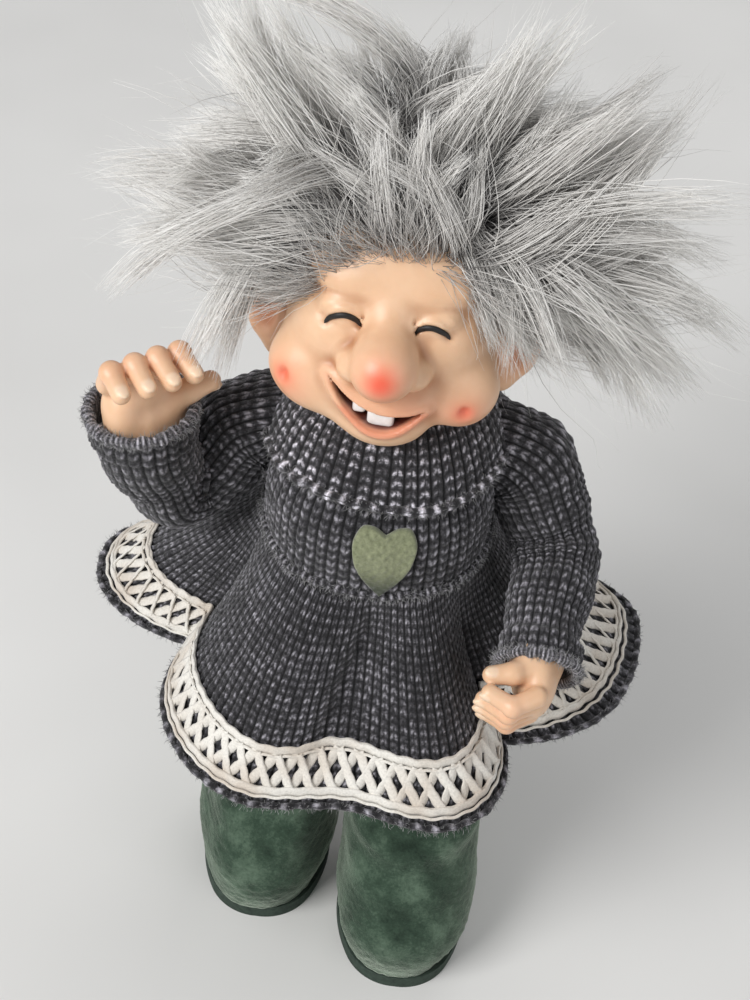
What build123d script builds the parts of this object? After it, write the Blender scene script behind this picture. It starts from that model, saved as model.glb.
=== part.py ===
from build123d import *
import os
from math import asin, copysign, cos, hypot, pi, radians, sin, sqrt

# A dressed folk troll doll, standing with one hand raised. Sizes are millimetres.
# +Z is up, the doll faces -Y and its left hand is towards +X.
# The origin lies on the floor, under the middle of the neck.

# Fits between pieces
RUN_FIT = 0.05
END_PLAY = 0.1
SOFT_GAP = 0.4
ARM_GAP = 1.0
PIN_GAP = 0.5

# Boots and legs
BOOT_WIDTH = 45.0
BOOT_LENGTH = 70.0
BOOT_TOE_HEIGHT = 34.0
BOOT_HEIGHT = 107.0
BOOT_SHAFT_RADIUS = 19.0
BOOT_SET_BACK = 10.0
BOOT_SOLE_TUCK = 2.0
BOOT_WIDEST_RISE = 12.0
BOOT_TOE_SLOPE = 4.0
BOOT_ANKLE_EASE = 1.0
BOOT_WALL = 3.0
BOOT_GAP = 3.0
STRIDE = 20.0
STANCE_Y = -15.0
SOLE_THICKNESS = 5.0
SOLE_WELT = 1.0
LEG_TOP_RADIUS = 12.0
LEG_ROD_RADIUS = 2.5
LEG_ROD_FOOT = 20.0
LEG_ROD_GRIP = 22.0

# Body, measured upwards from the hip
HIP_Z = 112.0
HIP_HALF_X = 31.0
HIP_HALF_Y = 32.0
HIP_TUCK = 1.5
HIP_WIDEST_RISE = 19.0
WAIST_RISE = 48.0
WAIST_HALF_X = 29.5
WAIST_HALF_Y = 35.0
CHEST_RISE = 70.0
CHEST_HALF_X = 27.5
CHEST_HALF_Y = 31.0
NECKLINE_RISE = 84.0
NECKLINE_HALF_X = 18.0
NECKLINE_HALF_Y = 20.0
NECK_ABOVE_NECKLINE = 4.0
NECK_RADIUS = 15.0
BELLY_FORWARD = 3.0
CHEST_FORWARD = 2.0
NECKLINE_FORWARD = 1.0
FULLNESS = 2.35

# Knitted dress
KNIT = 2.5
SKIRT_LENGTH = 55.0
FOLD_TURN = 0.6
FOLD_DEPTH = 0.45
LACE_WIDTH = 12.5
LACE_THICKNESS = 1.0
HEM_WIDTH = 4.0
COLLAR_HEIGHT = 19.0
COLLAR_ABOVE_NECK = 6.5
COLLAR_FLARE = 1.2
COLLAR_DRAW_IN = 1.6
COLLAR_THICKNESS = 5.0
COLLAR_ROUND = 2.0
HEART_WIDTH = 16.0
HEART_HEIGHT = 20.0
HEART_SHOULDER = 14.4
HEART_DIP = 17.2
HEART_THICKNESS = 1.5
HEART_X = 3.0
HEART_ABOVE_WAIST = 2.0

# Skirt hem: azimuth in degrees from the front towards the doll's left, radius at the hem, how late
# the cloth flares on its way down, and whether the fold comes out (1) or goes in (0) there
HEM_FOLDS = (
    (-105, 87, 1.15, 1),
    (-72, 62, 1.4, 0),
    (-22, 78, 0.95, 1),
    (2, 70, 1.2, 0),
    (24, 80, 1.1, 1),
    (48, 66, 2.2, 0),
    (100, 87, 1.6, 1),
    (128, 70, 1.4, 0),
    (154, 84, 1.1, 1),
    (180, 70, 1.4, 0),
    (206, 84, 1.1, 1),
    (232, 70, 1.4, 0),
)

# Head and neck joint
NECK_POST_RADIUS = 5.0
NECK_POST_GRIP = 24.0
WASHER_RADIUS = 10.0
WASHER_THICKNESS = 2.0
PLUG_RADIUS = 12.0
PLUG_HEIGHT = 13.0
PLUG_ENTRY = 6.0
NECK_CAP_RADIUS = 8.0
NECK_CAP_THICKNESS = 3.0
SKULL_RADII = (30.0, 29.0, 29.0)
SKULL_BACK = 2.0
SKULL_ABOVE_CHIN = 34.0
JAW_RADII = (27.0, 22.0, 20.0)
JAW_FORWARD = 12.0
CHIN_RADII = (12.0, 10.5, 9.5)
CHIN_FORWARD = 27.0
CHEEK_RADIUS = 11.5
CHEEK_OUT = 18.5
CHEEK_FORWARD = 22.0
CHEEK_ABOVE_CHIN = 14.0
NOSE_RADII = (9.5, 10.5, 9.5)
NOSE_FORWARD = 37.0
NOSE_ABOVE_CHIN = 27.0
EAR_RADII = (7.5, 4.0, 12.0)
EAR_OUT = 31.0
EAR_FORWARD = 6.0
EAR_ABOVE_CHIN = 15.0
HEAD_WALL = 4.5
MOUTH_RADII = (13.0, 9.0, 4.5)
MOUTH_FORWARD = 36.0
MOUTH_ABOVE_CHIN = 11.0
TOOTH_THICKNESS = 3.0
TOOTH_DEPTH = 9.0
TOOTH_ROUND = 0.8
UPPER_TOOTH_SIZE = (5.0, 4.0)
UPPER_TOOTH_X = -5.0
LOWER_TOOTH_SIZE = (8.0, 3.6)
LOWER_TOOTH_X = 1.5

# Fur wig: the backing follows the skull above a sloping hairline
WIG_THICKNESS = 5.0
HAIRLINE_FRONT_Y = -24.0
HAIRLINE_FRONT_RISE = 49.0
HAIRLINE_SLOPE = 38.0
LOCK_ROOT_SINK = 1.5
LOCK_TIP_RADIUS = 1.2
LOCK_BEND = 0.4
# Where a lock's outline is drawn along its length, and its width there against the root's
LOCK_STATIONS = ((0, 1), (0.35, 1.15), (0.7, 0.7))

# Locks: root azimuth and elevation, tip azimuth and elevation (degrees about the middle of the
# skull, azimuth from the front towards the doll's left), reach of the tip, radius at the root
HAIR_LOCKS = (
    (-70, 50, -78, 49, 84, 7.0),
    (-50, 62, -72, 60, 79, 7.0),
    (-85, 35, -84, 30, 78, 7.5),
    (-75, 25, -80, 16, 76, 7.0),
    (-62, 28, -72, 4, 74, 6.5),
    (-95, 20, -100, 2, 78, 7.0),
    (-105, 45, -110, 42, 76, 7.0),
    (-40, 45, -52, 38, 58, 6.5),
    (-30, 60, -40, 64, 66, 6.5),
    (-5, 55, -22, 66, 60, 6.5),
    (20, 58, 20, 70, 62, 6.5),
    (40, 62, 70, 67, 80, 7.0),
    (5, 82, 60, 80, 66, 7.0),
    (120, 75, 112, 62, 72, 7.0),
    (60, 50, 74, 51, 78, 7.5),
    (72, 40, 80, 38, 80, 7.5),
    (65, 28, 80, 24, 82, 7.5),
    (75, 18, 82, 10, 84, 8.0),
    (85, 10, 84, -4, 86, 8.0),
    (58, 24, 72, -4, 82, 7.0),
    (62, 16, 74, -18, 72, 7.0),
    (48, 34, 52, -14, 48, 6.0),
    (100, 5, 98, -20, 70, 7.0),
    (105, 40, 108, 34, 80, 7.5),
    (125, 25, 126, 12, 76, 7.5),
    (125, 55, 136, 44, 74, 7.5),
    (160, 60, 166, 54, 70, 7.5),
    (160, 30, 160, 14, 72, 8.0),
    (150, 0, 152, -22, 62, 7.5),
    (180, -5, 180, -26, 58, 7.5),
    (195, 62, 200, 52, 72, 7.5),
    (200, 28, 202, 12, 74, 8.0),
    (210, -2, 210, -20, 60, 7.5),
    (230, 55, 228, 46, 78, 7.5),
    (235, 22, 234, 10, 76, 7.5),
)

# Arms: a jointed wire armature in stuffed sleeves
SHOULDER_RISE = 72.0
SHOULDER_RADIUS = 13.5
SHOULDER_CUT = 3.5
SLEEVE_WALL = 2.0
ELBOW_RADIUS = 12.0
WRIST_RADIUS = 13.0
CUFF_LENGTH = 9.0
CUFF_THICKNESS = 1.4
UPPER_ARM = 33.0
FOREARM = 34.0
SHOULDER_PIN_RADIUS = 2.5
SHOULDER_PIN_GRIP = 20.0
PIN_HEAD_RADIUS = 4.5
PIN_HEAD_THICKNESS = 2.0
EYE_RADIUS = 5.5
EYE_SHOULDER = 0.1
LINK_RADIUS = 1.4
RIVET_RADIUS = 1.6
RIVET_HEAD_RADIUS = 3.0
RIVET_HEAD_THICKNESS = 1.2
WADDING_FROM_ELBOW = 11.0
WADDING_FROM_SHOULDER = 8.0
WADDING_FROM_CUFF = 5.0
LINK_INTO_HAND = 6.0

RIGHT_UPPER_DIRECTION = (-19, -8, -26)
RIGHT_FORE_DIRECTION = (-9, -12, 31)
RIGHT_ELBOW_AXIS = (0, -1, 0)
RIGHT_ELBOW_TRAVEL = 40.0
LEFT_UPPER_DIRECTION = (17, -7, -28.5)
LEFT_FORE_DIRECTION = (-4, -31, -9)
LEFT_ELBOW_AXIS = (-1, 0, 0)
LEFT_ELBOW_TRAVEL = 30.0
TRAVEL_STEP = 10.0

# Hands
WRIST_STUB_RADIUS = 8.0
PALM_RADII = (12.0, 7.0, 13.0)
RIGHT_PALM_BEYOND_CUFF = 12.0
LEFT_PALM_BEYOND_CUFF = 10.5
FINGER_RADIUS = 3.5
FINGER_TAPER = 0.5
FINGER_SPREAD = 6.4
FINGER_FIRST = 9.0
FINGER_LAST = 9.0
FINGER_ROOT = 9.0
THUMB_RADIUS = 4.0
THUMB_LENGTH = 11.0
THUMB_RISE = 50.0
THUMB_ROOT_OUT = 7.0
THUMB_ROOT_FORWARD = 3.5
FINGER_PLACES = (-1.5, -0.5, 0.5, 1.5)
RIGHT_HAND_DIRECTION = (-1, 1, 20)
LEFT_HAND_DIRECTION = (-1, -17, -8)
RIGHT_THUMB_WAY = (0.87, 0.5, 0)
LEFT_THUMB_WAY = (0, -0.5, 0.87)
RIGHT_CURL = (35.0, 110.0)
LEFT_CURL = (60.0, 130.0)

# Heights and places that follow from the sizes above
WAIST_Z = HIP_Z + WAIST_RISE
NECKLINE_Z = HIP_Z + NECKLINE_RISE
NECK_Z = NECKLINE_Z + NECK_ABOVE_NECKLINE
SHOULDER_Z = HIP_Z + SHOULDER_RISE
PLUG_Z = NECK_Z + WASHER_THICKNESS + END_PLAY
CHIN_Z = PLUG_Z + PLUG_ENTRY - END_PLAY
SKULL_MIDDLE = Vector(0, SKULL_BACK, CHIN_Z + SKULL_ABOVE_CHIN)
SHOULDER_FACE_X = max(WAIST_HALF_X, CHEST_HALF_X) + KNIT + ARM_GAP
SHOULDER_X = SHOULDER_FACE_X + SHOULDER_CUT
BOOT_X = (BOOT_WIDTH + BOOT_GAP) / 2
EYE_THICKNESS = 2 * (LINK_RADIUS + EYE_SHOULDER)
EYE_SHIFT = (EYE_THICKNESS + END_PLAY) / 2
FAR = 400.0

OVAL_ARCS = 8

BASE = (Align.CENTER, Align.CENTER, Align.MIN)


def placed(origin, direction):
    """A plane at origin whose normal runs along direction."""
    return Plane(origin=origin, z_dir=direction)


def bar(start, end, radius):
    """A straight round bar between two points."""
    along = end - start
    return placed(start, along) * Cylinder(radius, along.length, align=BASE)


def ellipsoid(middle, radii):
    """An egg of three radii about its middle."""
    return Pos(*middle) * scale(Sphere(1), by=tuple(radii))


def taper(start, end, start_radius, end_radius):
    """A straight cone between two points, with flat ends."""
    along = end - start
    return placed(start, along) * Cone(start_radius, end_radius, along.length, align=BASE)


def capsule(start, end, start_radius, end_radius, flat_end=False):
    """A tapered bar with a ball at its start and a ball or a flat face at its end."""
    along = end - start
    lean = asin((start_radius - end_radius) / along.length)
    root = (start_radius * cos(lean), start_radius * sin(lean))
    start_turn = (lean - pi / 2) / 2
    start_middle = (start_radius * cos(start_turn), start_radius * sin(start_turn))
    outline = ThreePointArc((0, -start_radius), start_middle, root)
    if flat_end:
        outline += Polyline(root, (end_radius, along.length), (0, along.length), (0, -start_radius))
    else:
        rim = (end_radius * cos(lean), along.length + end_radius * sin(lean))
        top = (0, along.length + end_radius)
        end_turn = (lean + pi / 2) / 2
        end_middle = (end_radius * cos(end_turn), along.length + end_radius * sin(end_turn))
        outline += Line(root, rim) + ThreePointArc(rim, end_middle, top)
        outline += Line(top, (0, -start_radius))
    return placed(start, along) * revolve(Plane.XZ * make_face(outline), Axis.Z)


def oval(z, half_x, half_y, mid_x, mid_y):
    """A level outline of arcs, a little fuller than an ellipse."""
    points = []
    for step in range(2 * OVAL_ARCS):
        turn = step * pi / OVAL_ARCS
        across = copysign(abs(cos(turn)) ** (2 / FULLNESS), cos(turn))
        along = copysign(abs(sin(turn)) ** (2 / FULLNESS), sin(turn))
        points.append((mid_x + half_x * across, mid_y + half_y * along, z))
    points.append(points[0])
    starts = range(0, 2 * OVAL_ARCS, 2)
    return Wire([Edge.make_three_point_arc(*points[i : i + 3]) for i in starts])


def oval_form(rows, grow=0.0):
    """A smooth form through level ovals: rows of height, half widths and middle."""
    wires = [oval(z, hx + grow, hy + grow, x, y) for z, hx, hy, x, y in rows]
    return Solid.make_loft(wires)


def between(low, high):
    """Everything between two heights."""
    return Pos(0, 0, low) * Box(FAR, FAR, high - low, align=BASE)


def turned(shape, pivot, axis, angle):
    """A shape turned about an axis through a pivot."""
    return shape.rotate(Axis(pivot, axis), angle)


# Boots, soles, legs and leg rods


def boot_rows(side, inset=0.0):
    """Ovals of one boot from its sole upwards, drawn in by a wall for what fills it."""
    x = side * BOOT_X
    y = STANCE_Y - side * STRIDE / 2
    foot_x = BOOT_WIDTH / 2 - inset
    foot_y = BOOT_LENGTH / 2 - inset
    shaft = BOOT_SHAFT_RADIUS - inset
    bottom = SOLE_THICKNESS + inset
    ankle = shaft + BOOT_ANKLE_EASE
    toe_x = foot_x - BOOT_SOLE_TUCK / 2
    toe_y = foot_y - BOOT_TOE_SLOPE
    return [
        (bottom, foot_x - BOOT_SOLE_TUCK, foot_y - BOOT_SOLE_TUCK, x, y),
        (bottom + BOOT_WIDEST_RISE, foot_x, foot_y, x, y),
        (BOOT_TOE_HEIGHT, toe_x, toe_y, x, y + BOOT_SET_BACK / 4),
        ((BOOT_TOE_HEIGHT + BOOT_HEIGHT) / 2, ankle, ankle, x, y + BOOT_SET_BACK),
        (BOOT_HEIGHT, shaft, shaft, x, y + BOOT_SET_BACK),
    ]


def leg_foot(side):
    """The middle of a leg at the floor."""
    return Vector(side * BOOT_X, STANCE_Y - side * STRIDE / 2 + BOOT_SET_BACK, 0)


def make_leg_rod(side):
    """The stiff wire that runs from a boot up into the body."""
    foot = leg_foot(side)
    low = Vector(foot.X, foot.Y, SOLE_THICKNESS + LEG_ROD_FOOT)
    high = Vector(foot.X, foot.Y, HIP_Z + LEG_ROD_GRIP)
    return bar(low, high, LEG_ROD_RADIUS)


def make_leg(side):
    """A stuffed leg that fills its boot and reaches the hip."""
    rows = boot_rows(side, BOOT_WALL)
    foot = leg_foot(side)
    cuff = rows[-1]
    hip = (HIP_Z, LEG_TOP_RADIUS, LEG_TOP_RADIUS, foot.X, foot.Y)
    leg = oval_form(rows) + Solid.make_loft([oval(*cuff), oval(*hip)])
    return leg - make_leg_rod(side)


def make_boot(side):
    """A round-toed felt boot, open at the top."""
    return oval_form(boot_rows(side)) - oval_form(boot_rows(side, BOOT_WALL))


def make_sole(side):
    """The stitched-on sole, a little wider than the boot above it."""
    _, half_x, half_y, x, y = boot_rows(side)[0]
    outline = oval(0, half_x + SOLE_WELT, half_y + SOLE_WELT, x, y)
    return extrude(Face(outline), SOLE_THICKNESS, dir=(0, 0, 1))


# Stuffed body


def body_rows():
    """Ovals of the body from the hip to the neck."""
    return [
        (HIP_Z, HIP_HALF_X - HIP_TUCK, HIP_HALF_Y - HIP_TUCK, 0, -BELLY_FORWARD),
        (HIP_Z + HIP_WIDEST_RISE, HIP_HALF_X, HIP_HALF_Y, 0, -BELLY_FORWARD),
        (WAIST_Z, WAIST_HALF_X, WAIST_HALF_Y, 0, -BELLY_FORWARD),
        (HIP_Z + CHEST_RISE, CHEST_HALF_X, CHEST_HALF_Y, 0, -CHEST_FORWARD),
        (NECKLINE_Z, NECKLINE_HALF_X, NECKLINE_HALF_Y, 0, -NECKLINE_FORWARD),
        (NECK_Z, NECK_RADIUS, NECK_RADIUS, 0, 0),
    ]


def neck_post():
    """The dowel that carries the head."""
    top = PLUG_Z + PLUG_HEIGHT + END_PLAY + NECK_CAP_THICKNESS
    return bar(Vector(0, 0, NECK_Z - NECK_POST_GRIP), Vector(0, 0, top), NECK_POST_RADIUS)


def ring(z, height, outer, inner):
    """A flat ring about the neck's axis."""
    return Pos(0, 0, z) * (Cylinder(outer, height, align=BASE) - Cylinder(inner, height, align=BASE))


def make_torso():
    """The stuffed body, bored for the neck post, the leg rods and the shoulder pins."""
    torso = oval_form(body_rows()) - make_skirt() - neck_post()
    for side in (-1, 1):
        torso -= make_leg_rod(side)
        torso -= make_shoulder_pin(side)
    return torso


# Dress


def make_bodice():
    """The knitted top of the dress, from the waist seam to the neckline."""
    shell = oval_form(body_rows(), KNIT) - oval_form(body_rows())
    bodice = shell & between(WAIST_Z, NECKLINE_Z)
    for side in (-1, 1):
        bodice -= make_shoulder_pin(side)
    return bodice


def make_collar():
    """The turned-down roll neck, seated on the bodice."""
    top = NECK_Z + COLLAR_ABOVE_NECK
    low = top - COLLAR_HEIGHT
    inner = NECK_RADIUS + KNIT
    wide_x = CHEST_HALF_X + KNIT
    wide_y = CHEST_HALF_Y + KNIT
    fold = inner + COLLAR_THICKNESS
    lip = fold - COLLAR_ROUND
    rows = [
        (low, wide_x + COLLAR_FLARE, wide_y + COLLAR_FLARE, 0, -CHEST_FORWARD),
        (low + COLLAR_HEIGHT / 2, wide_x, wide_y - COLLAR_DRAW_IN, 0, -NECKLINE_FORWARD),
        (top - COLLAR_ROUND, fold, fold + COLLAR_DRAW_IN, 0, 0),
        (top, lip, lip + COLLAR_DRAW_IN, 0, 0),
    ]
    collar = oval_form(rows) - oval_form(body_rows(), KNIT)
    return collar - Pos(0, 0, NECK_Z - KNIT) * Cylinder(inner, FAR, align=BASE)


def waist_reach(azimuth, grow):
    """Distance from the skirt's axis to the waist seam at an azimuth."""
    half_x = WAIST_HALF_X + KNIT + grow
    half_y = WAIST_HALF_Y + KNIT + grow
    return 1 / hypot(sin(radians(azimuth)) / half_x, cos(radians(azimuth)) / half_y)


def skirt_point(azimuth, hem_reach, drop, flare, grow):
    """A point of the skirt, drop below the waist."""
    waist = waist_reach(azimuth, grow)
    share = drop / SKIRT_LENGTH
    reach = waist + (hem_reach + grow - waist) * share**flare
    lean = radians(azimuth)
    shift = -BELLY_FORWARD * (1 - share)
    return (reach * sin(lean), shift - reach * cos(lean), WAIST_Z - drop)


def skirt_wire(drop, grow):
    """A level outline of the skirt: one arc round each fold, in or out."""
    count = len(HEM_FOLDS)
    joins = []
    for index, (azimuth, reach, flare, out) in enumerate(HEM_FOLDS):
        next_azimuth, next_reach, next_flare, _ = HEM_FOLDS[(index + 1) % count]
        span = (next_azimuth - azimuth) % 360
        turn = FOLD_TURN if out else 1 - FOLD_TURN
        depth = 1 - FOLD_DEPTH if out else FOLD_DEPTH
        join_reach = reach + (next_reach - reach) * depth
        join_flare = flare + (next_flare - flare) * depth
        joins.append(skirt_point(azimuth + span * turn, join_reach, drop, join_flare, grow))
    arcs = []
    for index, (azimuth, reach, flare, _) in enumerate(HEM_FOLDS):
        middle = skirt_point(azimuth, reach, drop, flare, grow)
        arcs.append(Edge.make_three_point_arc(joins[index - 1], middle, joins[index]))
    return Wire(arcs)


def skirt_form(drops, grow):
    """The solid inside the skirt's outline over a run of heights."""
    return Solid.make_loft([skirt_wire(drop, grow) for drop in drops], True)


def skirt_drops():
    """Heights below the waist where the skirt's outline is drawn."""
    lace_low = SKIRT_LENGTH - HEM_WIDTH
    lace_top = lace_low - LACE_WIDTH
    return [0, lace_top / 3, lace_top * 2 / 3, lace_top, lace_low, SKIRT_LENGTH]


def make_skirt():
    """The flared skirt with its deep folds."""
    return skirt_form(skirt_drops(), 0) - skirt_form(skirt_drops(), -KNIT)


def make_lace():
    """The lace band sewn round the skirt above its hem."""
    drops = skirt_drops()[3:5]
    return skirt_form(drops, LACE_THICKNESS) - skirt_form(drops, 0)


def make_heart():
    """The felt heart sewn on the front of the bodice."""
    half = HEART_WIDTH / 2
    shoulder = (half, HEART_SHOULDER)
    lobe = ThreePointArc(shoulder, (half / 2, HEART_HEIGHT), (0, HEART_DIP))
    side = Line((0, 0), shoulder) + lobe
    outline = side + mirror(side, Plane.YZ)
    prism = extrude(Plane.XZ * make_face(outline), FAR)
    prism = Pos(HEART_X, 0, WAIST_Z + HEART_ABOVE_WAIST) * prism
    shell = oval_form(body_rows(), KNIT + HEART_THICKNESS) - oval_form(body_rows(), KNIT)
    return shell & prism


# Head


def head_form():
    """The outside of the cast head."""
    chin = CHIN_Z
    form = ellipsoid(SKULL_MIDDLE, SKULL_RADII)
    form += ellipsoid((0, -JAW_FORWARD, chin + JAW_RADII[2]), JAW_RADII)
    form += ellipsoid((0, -CHIN_FORWARD, chin + CHIN_RADII[2]), CHIN_RADII)
    for side in (-1, 1):
        cheek = (side * CHEEK_OUT, -CHEEK_FORWARD, chin + CHEEK_ABOVE_CHIN)
        form += Pos(*cheek) * Sphere(CHEEK_RADIUS)
        form += ellipsoid((side * EAR_OUT, -EAR_FORWARD, chin + EAR_ABOVE_CHIN), EAR_RADII)
    form += ellipsoid((0, -NOSE_FORWARD, chin + NOSE_ABOVE_CHIN), NOSE_RADII)
    return form


def make_head():
    """The hollow head with its mouth and its neck hole."""
    mouth = ellipsoid((0, -MOUTH_FORWARD, CHIN_Z + MOUTH_ABOVE_CHIN), MOUTH_RADII)
    cavity = ellipsoid(SKULL_MIDDLE, [radius - HEAD_WALL for radius in SKULL_RADII])
    neck_hole = Pos(0, 0, PLUG_Z) * Cylinder(PLUG_RADIUS, PLUG_HEIGHT + HEAD_WALL, align=BASE)
    return head_form() - mouth - cavity - neck_hole


def make_neck_plug():
    """The plug in the neck hole that turns on the neck post."""
    return ring(PLUG_Z, PLUG_HEIGHT, PLUG_RADIUS, NECK_POST_RADIUS + RUN_FIT)


def make_tooth(size, x, rise, head):
    """A tooth that stands in the mouth against the jaw."""
    width, height = size
    block = Box(width, TOOTH_DEPTH, height)
    block = fillet(block.edges().filter_by(Axis.Y), TOOTH_ROUND)
    y = -MOUTH_FORWARD + MOUTH_RADII[1] - TOOTH_THICKNESS
    return Pos(x, y, CHIN_Z + MOUTH_ABOVE_CHIN + rise) * block - head


def skull_point(azimuth, elevation, grow):
    """A point over the skull, grow outside its surface."""
    a = radians(azimuth)
    e = radians(elevation)
    unit = Vector(sin(a) * cos(e), -cos(a) * cos(e), sin(e))
    radii = [radius + grow for radius in SKULL_RADII]
    reach = 1 / sqrt(sum((u / r) ** 2 for u, r in zip(unit, radii)))
    return SKULL_MIDDLE + unit * reach


def make_lock(lock):
    """A lock of hair: it leaves the skull along its root and bends over to its tip."""
    root_azimuth, root_elevation, tip_azimuth, tip_elevation, reach, radius = lock
    root = skull_point(root_azimuth, root_elevation, -LOCK_ROOT_SINK)
    away = (root - SKULL_MIDDLE).normalized()
    tip_unit = skull_point(tip_azimuth, tip_elevation, 0) - SKULL_MIDDLE
    tip = SKULL_MIDDLE + tip_unit.normalized() * reach
    bend = root + away * ((tip - root).length * LOCK_BEND)
    wires = []
    for share, width in LOCK_STATIONS + ((1, LOCK_TIP_RADIUS / radius),):
        point = root * (1 - share) ** 2 + bend * (2 * share * (1 - share)) + tip * share**2
        heading = (bend - root) * (1 - share) + (tip - bend) * share
        wires.append(Wire.make_circle(radius * width, placed(point, heading)))
    return Solid.make_loft(wires)


def make_wig():
    """The fur wig: a thick backing over the skull and its wild locks."""
    backing = ellipsoid(SKULL_MIDDLE, [radius + WIG_THICKNESS for radius in SKULL_RADII])
    front = Vector(0, HAIRLINE_FRONT_Y, CHIN_Z + HAIRLINE_FRONT_RISE)
    slope = radians(HAIRLINE_SLOPE)
    backing &= placed(front, Vector(0, sin(slope), cos(slope))) * Box(FAR, FAR, FAR, align=BASE)
    return backing.fuse(*[make_lock(lock) for lock in HAIR_LOCKS]) - head_form()


# Arms


def make_shoulder_pin(side):
    """The headed pin that the arm swings on, set in the body."""
    inner = Vector(side * (SHOULDER_FACE_X - SHOULDER_PIN_GRIP), 0, SHOULDER_Z)
    head = Vector(side * (SHOULDER_X + EYE_THICKNESS / 2 + END_PLAY), 0, SHOULDER_Z)
    end = head + Vector(side * PIN_HEAD_THICKNESS, 0, 0)
    return bar(inner, end, SHOULDER_PIN_RADIUS) + bar(head, end, PIN_HEAD_RADIUS)


def eye(middle, axis):
    """A flat round link end, before it is bored."""
    half = axis.normalized() * (EYE_THICKNESS / 2)
    return bar(middle - half, middle + half, EYE_RADIUS)


def eye_rim(middle, axis, direction):
    """The point of an eye's rim that a shank leaves from."""
    level = direction - axis * direction.dot(axis)
    return middle + level.normalized() * (EYE_RADIUS - LINK_RADIUS / 2)


def through(middle, axis, radius):
    """A long round hole along an axis."""
    return bar(middle - axis * FAR, middle + axis * FAR, radius)


def make_rivet(elbow, upper_way):
    """The elbow's rivet: tight in the upper link, with a head at each end."""
    upper_end = elbow + upper_way * (EYE_SHIFT + EYE_THICKNESS / 2)
    fore_end = elbow - upper_way * (EYE_SHIFT + EYE_THICKNESS / 2 + END_PLAY)
    rivet = bar(fore_end, upper_end, RIVET_RADIUS)
    rivet += bar(upper_end, upper_end + upper_way * RIVET_HEAD_THICKNESS, RIVET_HEAD_RADIUS)
    rivet += bar(fore_end, fore_end - upper_way * RIVET_HEAD_THICKNESS, RIVET_HEAD_RADIUS)
    return rivet


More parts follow.
